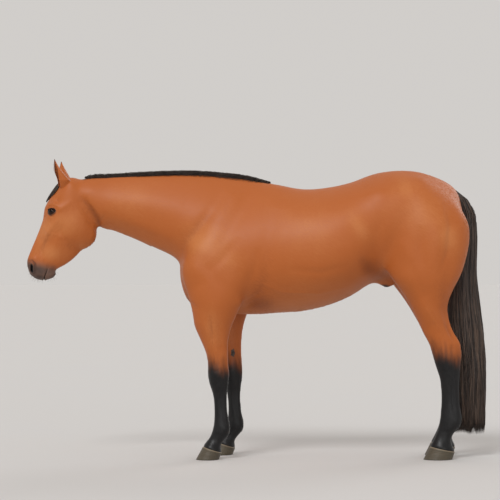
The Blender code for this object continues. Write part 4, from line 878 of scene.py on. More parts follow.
def cupped(side):
    """The rings of one ear: its outer wall, then its inner wall back again."""
    sign = SIDES[side]
    base, tip = mirrored(EAR_BASE, sign), mirrored(EAR_TIP[side], sign)
    ahead, aside = EAR_FACING
    facing = np.array([ahead, aside * sign, 0.0])
    across = np.array([-aside * sign, ahead, 0.0])
    edge = np.abs(np.linspace(-1, 1, EAR_AROUND)) ** 6
    rings = []
    for t in np.linspace(EAR_ROOT, 1, EAR_ROWS):
        up = min((t + math.sqrt(t * t + 0.012)) / 2, 1)
        below = min(t, 0)
        middle = base + (tip - base) * (1 - (1 - up) ** 1.8, t, t)
        middle[1] += EAR_SPREAD * sign * below
        depth = EAR_DEPTH * (1 - up) ** 0.9 * (1 + 0.5 * below) + 0.0020
        depth += EAR_FLARE * fade(t, -0.12, 0.16)
        breadth = depth * (0.76 + 0.50 * math.sin(math.pi * up))
        opening = math.radians(EAR_OPENING[0] + EAR_OPENING[1] * smoothstep(t, 0.0, 0.7))
        turn = np.linspace(opening, 2 * math.pi - opening, EAR_AROUND)
        wall = EAR_WALL * (1 - 0.35 * up) * (1 - 0.55 * edge) + 0.0006
        curl = 1 - 0.10 * edge * up
        ridge = 1 + 0.05 * np.exp(-((np.cos(turn) + 1) / 0.05)) * math.sin(math.pi * up)
        rows = []
        for inward in (0.0, 1.0):
            d = np.maximum((depth * ridge - wall * inward) * curl, EAR_LEAST)
            w = np.maximum((breadth - wall * inward) * curl, EAR_LEAST)
            rows.append(middle + (d * np.cos(turn))[:, None] * facing + (w * np.sin(turn))[:, None] * across)
        rings.append(np.concatenate([rows[0], rows[1][::-1]]))
    return np.array(rings)


RIM_FROM = 0.42  # the dark edge of an ear starts at this share of its rows
SEAM_REACH = 0.07  # how far from an ear's base the seam is looked for
SEAM_SOFT = (0.003, 0.014)  # the softening fades out between these distances from the seam
sources = [bpy.data.materials.new(name) for name in ("of_hide", "of_ear")]
ear_rims = []
for side, sign in SIDES.items():
    rings = cupped(side)
    above = rings[int(EAR_ROWS * RIM_FROM):]
    ear_rims.append(np.concatenate([above[:, 0], above[:, EAR_AROUND - 1]]))
    ear = turned_out(shape("ear", *folded(rings), None))
    for ob in (hide, ear):
        ob.data.materials.clear()
        for source in sources:
            ob.data.materials.append(source)
    ear.data.polygons.foreach_set("material_index", np.ones(len(ear.data.polygons), np.int32))
    join = hide.modifiers.new("join", "BOOLEAN")
    join.operation = "UNION"
    join.solver = "MANIFOLD"
    join.object = ear
    bpy.context.view_layer.update()
    hide = baked(hide)
    bpy.data.objects.remove(ear)

    # The seam is where a face of the hide and a face of the ear share a point
    source_of = np.zeros(len(hide.data.polygons), np.int32)
    hide.data.polygons.foreach_get("material_index", source_of)
    touch = np.zeros((2, len(hide.data.vertices)), bool)
    for poly in hide.data.polygons:
        if poly.center.x < -0.9:
            touch[source_of[poly.index], list(poly.vertices)] = True
    co = points(hide)
    seam = co[touch.all(0)]
    region = np.where(np.linalg.norm(co - mirrored(EAR_BASE, sign), axis=1) < SEAM_REACH)[0]
    apart = np.array([np.linalg.norm(seam - p, axis=1).min() for p in co[region]])
    weight = np.zeros(len(co))
    weight[region] = fade(apart, *SEAM_SOFT)
    soften(hide, 14, weight)
    hide.data.polygons.foreach_set("material_index", np.zeros(len(source_of), np.int32))
ear_rims = np.concatenate(ear_rims)
hide.data.materials.clear()
hide.data.polygons.foreach_set("use_smooth", np.ones(len(hide.data.polygons), bool))
for source in sources:
    bpy.data.materials.remove(source)

# Colours of the coat
BAY = display(174, 93, 41)
# paler bay, for the coat's random paler tone and for painted highlight
BAY_PALE_AND_HIGHLIGHT = display(192, 118, 67)
# darker bay, for the coat's random darker tone and for painted shade
BAY_DARK_AND_SHADE = display(112, 58, 33)
BLACK_POINTS = display(15, 15, 17)
BLACK_WORN = display(38, 36, 37)
MUZZLE_GREY = display(108, 82, 70)
MUZZLE_DARK = display(78, 61, 54)
PAINTED_SHADE_LINES = [  # painted shade: where the coat is painted darker, in hollows, creases and along the jaw: radius, share, and a line in the side plane
    (0.045, 0.22, [(-0.99, 1.44), (-0.94, 1.39), (-0.9, 1.33), (-0.885, 1.26)]),
    (0.018, 0.48, [(-0.985, 1.462), (-0.924, 1.392), (-0.892, 1.34), (-0.884, 1.28)]),
    (0.026, 0.38, [(-1.09, 1.212), (-1.04, 1.178), (-0.99, 1.165)]),
    (0.018, 0.5, [(-1.16, 1.275), (-1.19, 1.21), (-1.212, 1.155)]),
    (0.018, 0.45, [(-1.118, 1.44), (-1.11, 1.446)]),
    (0.0055, 1.2, [(-1.29, 1.108), (-1.264, 1.11), (-1.245, 1.09), (-1.244, 1.055), (-1.252, 1.02)]),
    (0.06, 0.35, [(-0.47, 1.1), (-0.4, 0.9), (-0.35, 0.84)]),
    (0.06, 0.55, [(-0.05, 0.86), (0.02, 0.86), (0.1, 0.86)]),
    (0.06, 0.35, [(0.06, 1.15), (0.03, 1.0), (-0.02, 0.88)]),
    (0.07, 0.5, [(0.6, 1.1), (0.68, 1.03), (0.74, 0.98)]),
    (0.045, 0.35, [(0.57, 1.13), (0.62, 1.03)]),
    (0.035, 0.4, [(-0.25, 1.38), (-0.32, 1.31), (-0.395, 1.22), (-0.435, 1.1)]),
    (0.04, 0.35, [(1.05, 1.1), (1.02, 0.95), (1.04, 0.8)]),
    (0.012, 0.45, [(-0.258, 0.81), (-0.25, 0.72), (-0.246, 0.64)]),
    (0.012, 0.45, [(1.04, 0.76), (1.074, 0.7), (1.104, 0.645)]),
]
PAINTED_HIGHLIGHT_LINES = [  # painted highlight: where the coat is painted paler, as where light falls on it and it shines
    (0.16, 0.55, [(-0.22, 1.32), (-0.3, 1.15)]),
    (0.15, 0.45, [(-0.6, 1.42), (-0.85, 1.47)]),
    (0.22, 0.45, [(0.1, 1.3), (0.35, 1.28), (0.5, 1.3)]),
    (0.17, 0.65, [(0.85, 1.45), (0.98, 1.28)]),
    (0.09, 0.45, [(0.78, 1.5), (0.86, 1.52)]),
    (0.07, 0.6, [(1.04, 1.3), (1.08, 1.18)]),
    (0.05, 0.55, [(0.52, 1.36), (0.6, 1.22)]),
    (0.1, 0.4, [(-0.15, 1.16), (-0.15, 1.04)]),
    (0.09, 0.5, [(-0.33, 1.26), (-0.34, 1.14)]),
    (0.13, 0.75, [(-1.08, 1.38), (-1.05, 1.24)]),
    (0.07, 0.65, [(-1.17, 1.34), (-1.23, 1.2)]),
    (0.07, 0.6, [(-0.26, 0.84), (-0.24, 0.62)]),
    (0.06, 0.35, [(0.93, 0.88), (1.02, 0.72)]),
    (0.06, 0.8, [(-1.215, 1.165), (-1.16, 1.15), (-1.1, 1.14)]),
]
FORE_BLACK = (0.41, 0.67)  # the forelegs' black fades out between these heights
HIND_BLACK = (0.47, 0.75)
FADE_SLOPE = {"fore": 0.25, "hind": 0.30}  # it reaches lower at the back of a leg by this slope
TIP = (0.722, 0.940)  # x and z of the sheath's dark tip
TIP_SIZE = (0.055, 0.045)
GREY_FADE = (1.020, 1.145)  # the muzzle's grey fades out between these heights
LID_DARK = 0.0100  # how far the dark skin goes round the eye, and how much more below it
LID_DARKER = 0.0040
MANE_REACH = (-0.972, 0.070)  # x of the mane's ends along the crest
neck = Form(NECK)
crest_line = neck.at(np.linspace(0, 1, 400))[:, :2]


def marks_and_painted_light(co, normal):
    """Shares of black points, grey muzzle skin, painted highlight and painted shade at places on the horse.
    """
    x, _, z = squared(co).T
    y = np.abs(co[:, 1])
    flat = np.stack([x, z], 1)

    # Black: the legs, the sheath's tip, the crest under the mane, the ears' tips and rims
    fore_fade = fade(z + FADE_SLOPE["fore"] * (x + 0.2), *FORE_BLACK)
    hind_fade = fade(z + FADE_SLOPE["hind"] * (x - 1.04), *HIND_BLACK)
    black = (x < 0.3) * (z < 0.8) * fore_fade
    black = np.maximum(black, (x > 0.8) * (z < 0.9) * hind_fade)
    black = np.maximum(black, (x > 0.3) * (x < 1.3) * (z < HIND_BLACK[0]))
    sheath = fade(np.hypot((x - TIP[0]) / TIP_SIZE[0], (z - TIP[1]) / TIP_SIZE[1]), 0.4, 1.1)
    black = np.maximum(black, 0.82 * sheath * (y < 0.05))
    crest = (x > MANE_REACH[0] - 0.01) & (x < MANE_REACH[1]) & (y < 0.035)
    if crest.any():
        seat = np.interp(x, crest_line[:, 0], crest_line[:, 1]) - z
        black = np.maximum(black, 0.9 * crest * fade(seat, 0.006, 0.016))
    head = x < -1.0
    black = np.maximum(black, 0.62 * head * smoothstep(z, 1.640, 1.675))
    crown = head & (z > 1.56)
    if crown.any():
        edge = np.array([np.linalg.norm(ear_rims - p, axis=1).min() for p in co[crown]])
        black[crown] = np.maximum(black[crown], 0.6 * fade(edge, 0.001, 0.0045))

    # The face: grey skin on the muzzle, dark lids, and black in the nostrils and the parting of the lips,
    # which is dark skin with painted shade in the pits and the crease
    grey = fade(x, -1.150, -1.085) * fade(z + 0.24 * (x + 1.2), *GREY_FADE)
    for sign in SIDES.values():
        _, b, h, apart, _ = beside(co, LIDS, sign)
        fades = LID_DARK + LID_DARKER * smoothstep(-b, -0.004, 0.010)
        lids = (h > 0) * fade(apart, 0.0020, fades)
        black = np.maximum(black, lids * (0.74 + 0.16 * (b > 0)))
        _, _, h, apart, _ = beside(co, NOSTRILS, sign)
        # inside a nostril: dark skin, with painted shade down its pit
        inside = (h > -0.05) * (co[:, 1] * sign > 0) * fade(apart, -0.007, 0.003)
        black = np.maximum(black, inside * 0.95)
    gap, _ = line_fullness(flat, LIPS)
    # painted shade along the crease between the lips
    parting = (x < -1.12) * fade(z, *MOUTH_CORNER) * fade(gap, 0.0005, 0.004)
    black = np.maximum(black, 0.85 * parting)

    # Painted highlight and painted shade: along the strokes, under the belly, inside the legs and under the
    # tail
    painted_light, painted_shade = np.zeros(len(co)), np.zeros(len(co))
    for strokes, total in ((PAINTED_HIGHLIGHT_LINES, painted_light), (PAINTED_SHADE_LINES, painted_shade)):
        for radius, share, line in strokes:
            distance, fullness = line_fullness(flat, line)
            total += share * (0.4 + 0.6 * fullness) * bell(distance, 0, radius, 1.5)
    under = smoothstep(-normal[:, 2], 0.25, 0.9) * smoothstep(z, 0.70, 0.85) * (x > -1.0)
    inner = smoothstep(-normal[:, 1] * np.sign(co[:, 1]), 0.1, 0.6) * (z < 1.05) * (x > -0.6)
    rear = smoothstep(x, 1.10, 1.17) * (y < 0.06) * smoothstep(z, 0.95, 1.1)
    # painted highlight under the belly, where the body shades it
    painted_light += 0.45 * under
    # painted shade under the belly, inside the legs and under the tail
    painted_shade += 0.10 * under + 0.30 * inner + 0.7 * rear
    # channels: black points, grey muzzle, painted highlight, painted shade
    return np.stack([black, grey, np.clip(painted_light, 0, 1), np.clip(painted_shade, 0, 1)], 1).clip(0, 1)


def store_marks_and_painted_light(ob, values):
    """Keep markings, painted highlight and painted shade on a mesh's points, where its paint reads them."""
    layer = ob.data.attributes.new("marks_and_painted_light", "FLOAT_COLOR", "POINT")
    layer.data.foreach_set("color", values.astype(np.float32).ravel())


HAIR_LIES = {"body": (0.86, 0.0, -0.50), "legs": (0.08, 0.0, -1.0), "face": (-0.45, 0.0, -0.89)}
GRAINS = [  # of strands, locks and streaks: squeeze along the hair, scale and detail
    (0.10, 900.0, 2.0),
    (0.16, 190.0, 3.0),
    (0.22, 34.0, 3.0),
]


def coat_paint(p):
    """Short hair that lies back over the body, down the legs and down the face."""
    place = p.node("TexCoord", out=3)
    marks = p.node("Attribute", {"attribute_name": "marks_and_painted_light"})
    black, grey, painted_light = (p.node("SeparateColor", (), {0: marks}, k) for k in range(3))
    # the fourth channel: painted shade
    deep = p.node("Attribute", {"attribute_name": "marks_and_painted_light"}, out=3)
    axes = [p.node("SeparateXYZ", (), {0: place}, k) for k in range(3)]
    legs = 1 - axes[2].step(0.72, 0.92)
    face = 1 - axes[0].step(-1.02, -0.90)
    shares = {"body": 1 - legs - face, "legs": legs, "face": face}
    grains = [0.0, 0.0, 0.0]
    for part, along in HAIR_LIES.items():
        for k, (squeeze, scale, detail) in enumerate(GRAINS):
            grains[k] += shares[part] * p.noise(p.stretched(place, along, squeeze), scale, detail)
    strands, locks, streaks = grains
    patches = p.noise(place, 3.2, 3.0)
    dapple = p.noise(place, 14.0, 2.0)
    tone = (locks - 0.5) * 0.55 + (strands - 0.5) * 0.50 + (dapple - 0.5) * 0.22
    # painted highlight, with random paler tone
    coat = p.mix(BAY, BAY_PALE_AND_HIGHLIGHT, (painted_light * 0.9 + (patches - 0.5) * 0.5 + tone).step(0.0, 1.1))
    # painted shade, with random darker tone
    coat = p.mix(coat, BAY_DARK_AND_SHADE, (deep * 0.85 + (0.5 - locks) * 0.5 + (0.5 - patches) * 0.3).step(0.05, 1.15))
    coat = p.mix(coat, p.mix(MUZZLE_GREY, MUZZLE_DARK, dapple.step(0.35, 0.7)), grey.step(0.10, 0.85))
    ragged = (streaks - 0.5) * 0.9 * black * (1 - black) * 3.0
    points_black = p.mix(BLACK_POINTS, BLACK_WORN, (tone + 0.45).step(0.3, 0.95))
    coat = p.mix(coat, points_black, (black + ragged).step(0.12, 0.95))
    height = strands * 0.35 + locks * 0.65
    bump = p.node("Bump", (), {"Strength": 0.55, "Distance": 0.0011, "Height": height})
    rough = 0.49 + (locks - 0.5) * 0.22 + (strands - 0.5) * 0.14
    rough = rough - painted_light * 0.05 + deep * 0.10 + grey * 0.10 - black * 0.10
    return {"Base Color": coat, "Roughness": rough, "Normal": bump}


COAT = material("bay_coat", coat_paint, Specular_IOR_Level=0.34, Sheen_Weight=0.05, Sheen_Roughness=0.45)
hide.data.materials.append(COAT)
hide.name = "skin"
co, normal = points(hide), points(hide, "normal")
store_marks_and_painted_light(hide, marks_and_painted_light(co, normal))
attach(hide, "root")
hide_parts("head", "neck", "shoulders", "barrel", "hindquarters")
for side in SIDES:
    for part in ("ear", "forearm", "cannon_fore", "gaskin", "cannon_hind"):
        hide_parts(part + "_" + side)


# ------------------------------------------------------------------------------
# Eyes.  Each ball sits in its socket behind the lids: a clear wet front over a dark brown iris
# with a long level pupil, and a narrow rim of brownish white round it.
# ------------------------------------------------------------------------------
IRIS = display(38, 21, 12)
IRIS_RAY = display(66, 38, 20)
WHITE_OF_EYE = display(120, 92, 78)
PUPIL = display(9, 8, 10)
IRIS_RADIUS = 0.0215
PUPIL_HALF = (0.0118, 0.0062)  # half its length and half its height
CORNEA_RISE = 0.0009  # how far the clear front stands out of the ball
CORNEA_REACH = 1.0  # how far round it goes, in radians from the middle
POLE = 0.02  # the first and last rings of a ball lie this many radians from its poles
BALL_ROWS, BALL_AROUND = 48, 64


def named_values(ob, name, values):
    """Keep three values on each of a mesh's points under a name."""
    layer = ob.data.attributes.new(name, "FLOAT_VECTOR", "POINT")
    layer.data.foreach_set("vector", values.astype(np.float32).ravel())


def eye_paint(p):
    gaze = p.node("Attribute", {"attribute_name": "gaze"}, out=1)
    across, up, _ = (p.node("SeparateXYZ", (), {0: gaze}, k) for k in range(3))
    away = (across * across + up * up) ** 0.5
    turn = p.maths("ARCTAN2", up, across)
    rays = p.noise(p.node("CombineXYZ", (), {0: turn * 9.0, 1: away * 120.0, 2: 0.0}), 1.6, 4.0, 0.65)
    iris = p.mix(IRIS, IRIS_RAY, (rays * 0.9 - away * 12.0).step(0.15, 0.75))
    oval = ((across * (1 / PUPIL_HALF[0])) ** 2.0 + (up * (1 / PUPIL_HALF[1])) ** 2.0) ** 0.5
    colour = p.mix(PUPIL, iris, (oval + (rays - 0.5) * 0.12).step(0.92, 1.10))
    colour = p.mix(colour, PUPIL, away.step(IRIS_RADIUS - 0.0035, IRIS_RADIUS - 0.0005))
    colour = p.mix(colour, WHITE_OF_EYE, away.step(IRIS_RADIUS, IRIS_RADIUS + 0.002))
    return {"Base Color": colour, "Roughness": rays * 0.10 + 0.12}


EYE_GLASS = material("eye", eye_paint, Coat_Weight=0.38, Coat_Roughness=0.03, Specular_IOR_Level=0.05)
down = np.linspace(POLE, math.pi - POLE, BALL_ROWS)[:, None]
turn = np.linspace(0, 2 * math.pi, BALL_AROUND, endpoint=False)[None]
radius = EYE_RADIUS + CORNEA_RISE * smoothstep(CORNEA_REACH - down, 0.0, 0.9)
wide, h = radius * np.sin(down), radius * np.cos(down)
a, b = wide * np.cos(turn), wide * np.sin(turn)
for side, sign in SIDES.items():
    rear, up, out = directions(mirrored(EYE_LOOK, sign))
    place = a[..., None] * rear + b[..., None] * up + (h + 0 * a)[..., None] * out
    verts, faces = skinned(place + mirrored(EYE, sign))
    ball = turned_out(shape("eyeball_" + side, verts, faces, EYE_GLASS))
    d = verts - mirrored(EYE, sign)
    named_values(ball, "gaze", np.stack([d @ rear, d @ up, d @ out], 1))
    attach(ball, "root")
    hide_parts("eye_" + side)


# ------------------------------------------------------------------------------
# Hooves.  A wall of horn grows down from the coronet in faint rings, a little flared, over a
# hollow sole; softer horn edges its top under the hair.
# ------------------------------------------------------------------------------
GROUND = {"fore": (-0.342, -0.212), "hind": (0.925, 1.088)}  # x of toe and heel on the ground
HOOF_FLARE = 0.005  # how much wider a hoof is at the ground than at the coronet
HOOF_LOW = 0.0006  # its top lies this far below the coronet's line
HOOF_THIN = 0.0010  # and the horn this far inside the leg's own outline
HOOF_TUCK = 0.0022  # how far its top edge goes in under the hair
HOOF_BAND = (0.0008, 0.13, 0.05)  # the fuller band under the coronet: height, middle and width
HOOF_WORN = 0.0012  # how far its ground edge is worn round
RINGS = [(0.0005, 52), (0.0004, 87)]  # waves down the wall: height, and radians from top to bottom
GROOVES = [(0.0004, 9), (0.0003, 23)]  # waves round the wall: height, and how many
SOLE = [(0.90, 0.0), (0.84, 0.003), (0.50, 0.007), (0.18, 0.008)]  # share of the edge, and lift
HOOF_ROWS, HOOF_AROUND = 56, 96
HORN_GREY = display(86, 78, 64)
HORN_DARK = display(50, 45, 38)
HORN_PALE = display(116, 106, 88)
HORN_SOFT = display(126, 112, 92)


def horn_paint(p):
    growth = p.node("Attribute", {"attribute_name": "growth"}, out=1)
    down, turn, _ = (p.node("SeparateXYZ", (), {0: growth}, k) for k in range(3))
    place = p.node("TexCoord", out=3)
    wander = p.noise(place, 16.0, 2.0)
    level = p.node("CombineXYZ", (), {0: down * 26.0 + wander * 2.2, 1: 0.0, 2: turn * 0.4})
    rings = p.noise(level, 1.0, 3.0)
    grain = p.noise(p.node("CombineXYZ", (), {0: down * 1.6, 1: turn * 62.0, 2: 0.0}), 1.0, 3.0, 0.6)
    colour = p.mix(HORN_GREY, HORN_DARK, (grain * 0.8 + rings * 0.5 - 0.25).step(0.2, 0.9))
    colour = p.mix(colour, HORN_PALE, ((rings - 0.42) * 1.6 + (wander - 0.5)).step(0.05, 0.75) * 0.5)
    colour = p.mix(colour, HORN_DARK, down.step(0.86, 1.02) * (wander + 0.2))
    colour = p.mix(HORN_SOFT, colour, (down + (wander - 0.5) * 0.06).step(0.03, 0.10))
    bump = p.node("Bump", (), {"Strength": 0.6, "Distance": 0.0012, "Height": rings * 0.7 + grain * 0.35})
    return {"Base Color": colour, "Roughness": 0.36 + grain * 0.22 + (wander - 0.5) * 0.2, "Normal": bump}


def coronet_of(pair, sign):
    """A leg's section at the coronet, its toe, and the way down from it square to the section."""
    rows, back, hinge = LIMBS[pair]
    coronet = limb(rows, sign, back, hinge)[-2]
    toe, heel = coronet[0:2], coronet[2:4]
    along = (heel - toe) / np.linalg.norm(heel - toe)
    return coronet, toe, np.array([along[1], -along[0]])


def ripples(at, waves, phases):
    """Low waves: each of a height and so many radians to a unit of at."""
    return sum(high * np.sin(often * at + phase) for (high, often), phase in zip(waves, phases))


HORN = material("hoof_horn", horn_paint, Specular_IOR_Level=0.45)
t = np.linspace(0, 1, HOOF_ROWS)
angles = np.linspace(-math.pi, math.pi, HOOF_AROUND, endpoint=False)
rng = np.random.default_rng(7)
for pair in LIMBS:
    for side, sign in SIDES.items():
        coronet, _, down = coronet_of(pair, sign)
        top = coronet.copy()
        top[0:2] += down * HOOF_LOW
        top[2:4] += down * HOOF_LOW
        swing = LIMBS[pair][1] if sign > 0 else 0.0
        toe, heel = GROUND[pair]
        bottom = [toe + swing, 0, heel + swing, 0, coronet[4], *(coronet[5:] + HOOF_FLARE)]
        phases = rng.uniform(0, 6, 4)
        waves = ripples(t, RINGS, phases) * smoothstep(t, 0.10, 0.25) * fade(t, 0.9, 1.0)
        off = waves - HOOF_THIN - HOOF_TUCK * fade(t, 0.0, 0.09)
        off = off + HOOF_BAND[0] * bell(t, *HOOF_BAND[1:]) - HOOF_WORN * smoothstep(t, 0.975, 1.0)
        groove = ripples(angles, GROOVES, phases[2:])
        wall = Form([top, bottom])
        rings = wall.surface(t[:, None], angles[None], off[:, None] + groove[None] * t[:, None])
        middle = rings[-1].mean(0)
        under = [middle + (rings[-1] - middle) * share + np.array([0, 0, lift]) for share, lift in SOLE]
        rings = np.concatenate([rings, under])
        verts, faces = skinned(rings)
        hoof = turned_out(shape("hoof_wall_" + pair + "_" + side, verts, faces, HORN))
        grow = np.zeros((len(verts), 3))
        grow[:, 0] = 1
        grow[: HOOF_ROWS * HOOF_AROUND, 0] = np.repeat(t, HOOF_AROUND)
        grow[: len(rings) * HOOF_AROUND, 1] = np.tile(np.abs(angles), len(rings))
        named_values(hoof, "growth", grow)
        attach(hoof, "root")
        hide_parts("hoof_" + pair + "_" + side)


# ------------------------------------------------------------------------------
# Chestnuts.  A crusty oval of horn on the inside of each forearm above the knee, and a smaller
# one low on the inside of each hock.
# ------------------------------------------------------------------------------
CHESTNUTS = [(-0.211, 0.582, 0.0125, 0.026), (1.081, 0.566, 0.007, 0.016)]  # x, z, half width, half height
CHESTNUT_RISE = 0.0045
CHESTNUT_SINK = 0.002  # how far its edge lies under the skin
CHESTNUT_SEAT = 0.012  # the skin within this distance gives it its place
CRUST_LUMPS = [(0.10, 5, 9), (0.07, 11, -14)]  # height, how many round it, and how they wind
CRUST_ROWS, CRUST_AROUND = 14, 36
CRUST_DARK = display(52, 45, 42)
CRUST_PALE = display(104, 94, 84)
skin_co, skin_normal = points(hide), points(hide, "normal")
flat = squared(skin_co)
ring_at = np.linspace(0, 1, CRUST_ROWS)[:, None]
turn = np.linspace(0, 2 * math.pi, CRUST_AROUND, endpoint=False)[None]
lumps = 1 + sum(high * np.sin(count * turn + wind * ring_at) for high, count, wind in CRUST_LUMPS)
crusts = []
for x, z, wide, tall in CHESTNUTS:
    for sign in SIDES.values():
        near = np.hypot(flat[:, 0] - x, flat[:, 2] - z) < CHESTNUT_SEAT
        inner = near & (skin_normal[:, 1] * sign < -0.5) & (skin_co[:, 1] * sign > 0)
        middle, out = skin_co[inner].mean(0), unit(skin_normal[inner].mean(0))
        upward = unit(np.array([0, 0, 1.0]) - out[2] * out)
        sideways = np.cross(upward, out)
        rise = CHESTNUT_RISE * np.sqrt(np.maximum(1 - ring_at**2, 0)) * lumps
        rise = rise + 0.0009 * np.sin(40 * ring_at) - CHESTNUT_SINK
        rings = (middle + (wide * ring_at * np.cos(turn) * lumps)[..., None] * sideways
                 + (tall * ring_at * np.sin(turn) * lumps)[..., None] * upward
                 + rise[..., None] * out)
        rings = np.concatenate([rings[1:], [rings[-1] - out * 2 * CHESTNUT_SINK]])
        crusts.append(skinned(rings))
chestnuts = turned_out(shape("chestnuts", *joined(crusts), None))


def crust_paint(p):
    """Rough flaky horn, paler on its lumps."""
    place = p.node("TexCoord", out=3)
    grain = p.noise(p.stretched(place, (0, 0, 1), 2.4), 210.0, 4.0, 0.65)
    lump = p.noise(place, 60.0, 2.0)
    bump = p.node("Bump", (), {"Strength": 0.9, "Distance": 0.0016, "Height": grain * 0.7 + lump * 0.5})
    rough = (grain * 0.8 + lump * 0.4).step(0.35, 0.9)
    return {"Base Color": p.mix(CRUST_DARK, CRUST_PALE, rough), "Roughness": 0.62 + (grain - 0.5) * 0.3,
            "Normal": bump}


chestnuts.data.materials.append(material("chestnut_horn", crust_paint, Specular_IOR_Level=0.3))
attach(chestnuts, "root")


# ------------------------------------------------------------------------------
# Mane.  Coarse black hair rooted along the crest behind the bridle path; it lifts off the crest
# and falls down the right side of the neck.
# ------------------------------------------------------------------------------
MANE_LOCKS = 4200
MANE_RISE = 0.0150  # how far the hair lifts off the crest before it falls
MANE_DROP = 0.146  # how far down the neck it reaches
MANE_CLUMP = 0.021  # from one drawn-together clump of it to the next
MANE_HALF = 0.00100  # half the width of a lock at its fullest
LOCK_FLAT = 0.45  # a lock's thickness as a share of its width
ROOT_SINK = 0.006  # hair starts this far under the skin
HAIR_CLEAR = 0.001  # and lies this far off it
HAIR_BLACK = display(49, 42, 39)
HAIR_BROWN = display(118, 97, 83)


def hair_paint(p):
    """Long hair: streaks that run along each lock, black with a little brown at the tips."""
    run = p.node("Attribute", {"attribute_name": "run"}, out=1)
    along, shade, lock = (p.node("SeparateXYZ", (), {0: run}, k) for k in range(3))
    place = p.node("TexCoord", out=3)
    fibre = p.noise(p.node("CombineXYZ", (), {0: along * 3.0, 1: shade * 40.0, 2: lock * 3.0}), 1.0, 3.0)
    patch = p.noise(p.stretched(place, (0, 0, 1), 0.15), 60.0, 2.0)
    tone = shade * 0.55 + (fibre - 0.5) * 0.8 + (patch - 0.5) * 0.5 + along * 0.12
    colour = p.mix(HAIR_BLACK, HAIR_BROWN, tone.step(0.15, 1.05))
    bump = p.node("Bump", (), {"Strength": 0.4, "Distance": 0.0006, "Height": fibre})
    return {"Base Color": colour, "Roughness": 0.38 + (fibre - 0.5) * 0.25 + shade * 0.10, "Normal": bump}


HAIR = material("black_hair", hair_paint, Specular_IOR_Level=0.45)


def locks(name, paths, widths, paint, out_of, flat, shades=None, laid=False):
    """Tapered locks along paths of points: a three-sided strand each, wide across and thin out of
    the surface, closed at the root and drawn to a point.  Laid ones are shaded as the skin is."""
    count, steps = paths.shape[:2]
    ahead = unit(np.gradient(paths, axis=1))
    out_of = np.broadcast_to(out_of, paths.shape)
    across = unit(np.cross(ahead, out_of))
    lift = np.cross(across, ahead)
    w = widths[..., None]
    rings = np.stack([paths - across * w, paths + across * w, paths + lift * w * flat * 2], 2)[:, :-1]
    verts = np.concatenate([rings.reshape(count, -1, 3), paths[:, -1:]], 1)
    per = verts.shape[1]
    tip = per - 1
    faces = []
    for i in range(steps - 2):
        for j in range(3):
            a, b = 3 * i + j, 3 * i + (j + 1) % 3
            faces += [(b, a, b + 3), (b + 3, a, a + 3)]
    last = 3 * (steps - 2)
    faces += [(last + (j + 1) % 3, last + j, tip) for j in range(3)] + [(0, 1, 2)]
    faces = (np.array(faces)[None] + (np.arange(count) * per)[:, None, None]).reshape(-1, 3)
    ob = shape(name, verts.reshape(-1, 3), faces, paint)
    share = np.concatenate([np.repeat(np.arange(steps - 1), 3), [steps - 1]]) / (steps - 1)
    if shades is not None:
        number = np.repeat(np.arange(count) % 97, per)
        run = np.stack([np.tile(share, count), np.repeat(shades, per), number], 1)
        named_values(ob, "run", run)
    if laid:
        tilt = np.stack([out_of - across * 0.45, out_of + across * 0.45, out_of], 2)[:, :-1]
        shading = unit(np.concatenate([tilt.reshape(count, -1, 3), out_of[:, -1:]], 1)).reshape(-1, 3)
        ob.data.normals_split_custom_set_from_vertices(shading.tolist())
    sideways = np.concatenate([np.tile([0.0, 1.0, 0.5], steps - 1), [0.5]])
    return ob, np.stack([np.tile(sideways, count), np.tile(share, count)], 1)


PATCH = 0.003  # how much of a texture each lock has, at its root's place
CHARTS = 4  # charts along each side of the texture
CHART = 0.235  # a chart's side, and the margin before it
CHART_MARGIN = 0.006


def lay_out(ob, roots, normals, within):
    """Texture places: each lock a small patch at its root, on charts that unfold the skin by the
    way it faces and its side; within holds each point's place in its lock's patch."""
    axis = np.abs(normals).argmax(1)
    facing = axis * 2 + (np.take_along_axis(normals, axis[:, None], 1)[:, 0] > 0)
    cell = facing + 6 * (roots[:, 1] > 0)
    low = roots.min(0)
    span = (roots.max(0) - low).max()
    pair = np.array([(1, 2), (0, 2), (0, 1)])[axis]
    place = np.take_along_axis((roots - low) / span, pair, 1) * CHART + CHART_MARGIN
    place += np.stack([cell % CHARTS, cell // CHARTS], 1) / CHARTS
    uv = np.repeat(place, len(within) // len(roots), 0) + within * PATCH
    corner_of = np.zeros(len(ob.data.loops), np.int32)
    ob.data.loops.foreach_get("vertex_index", corner_of)
    layer = ob.data.uv_layers.new(name="OFBake")
    layer.data.foreach_set("uv", uv[corner_of].astype(np.float32).ravel())


table = np.linspace(0, 1, 400)
crest_x = crest_line[:, 0]
rng = np.random.default_rng(11)
x = rng.uniform(*MANE_REACH, MANE_LOCKS)
part = np.interp(x, crest_x, table)

# How far each lock falls: less at the mane's ends, and by clumps
ends = np.minimum(1, np.minimum((x - MANE_REACH[0]) / 0.045, (MANE_REACH[1] - x) / 0.16))
full = 0.35 + 0.65 * np.clip(ends, 0, 1)
rows = neck.at(part)
deep = np.hypot(rows[:, 0] - rows[:, 2], rows[:, 1] - rows[:, 3])
clump = np.round(x / MANE_CLUMP) * MANE_CLUMP
drop = MANE_DROP * full * (0.87 + 0.12 * np.sin(clump * 173.0)) * rng.uniform(0.72, 1.0, MANE_LOCKS) ** 0.7
lowest = np.arccos(1 - 2 * drop / deep)

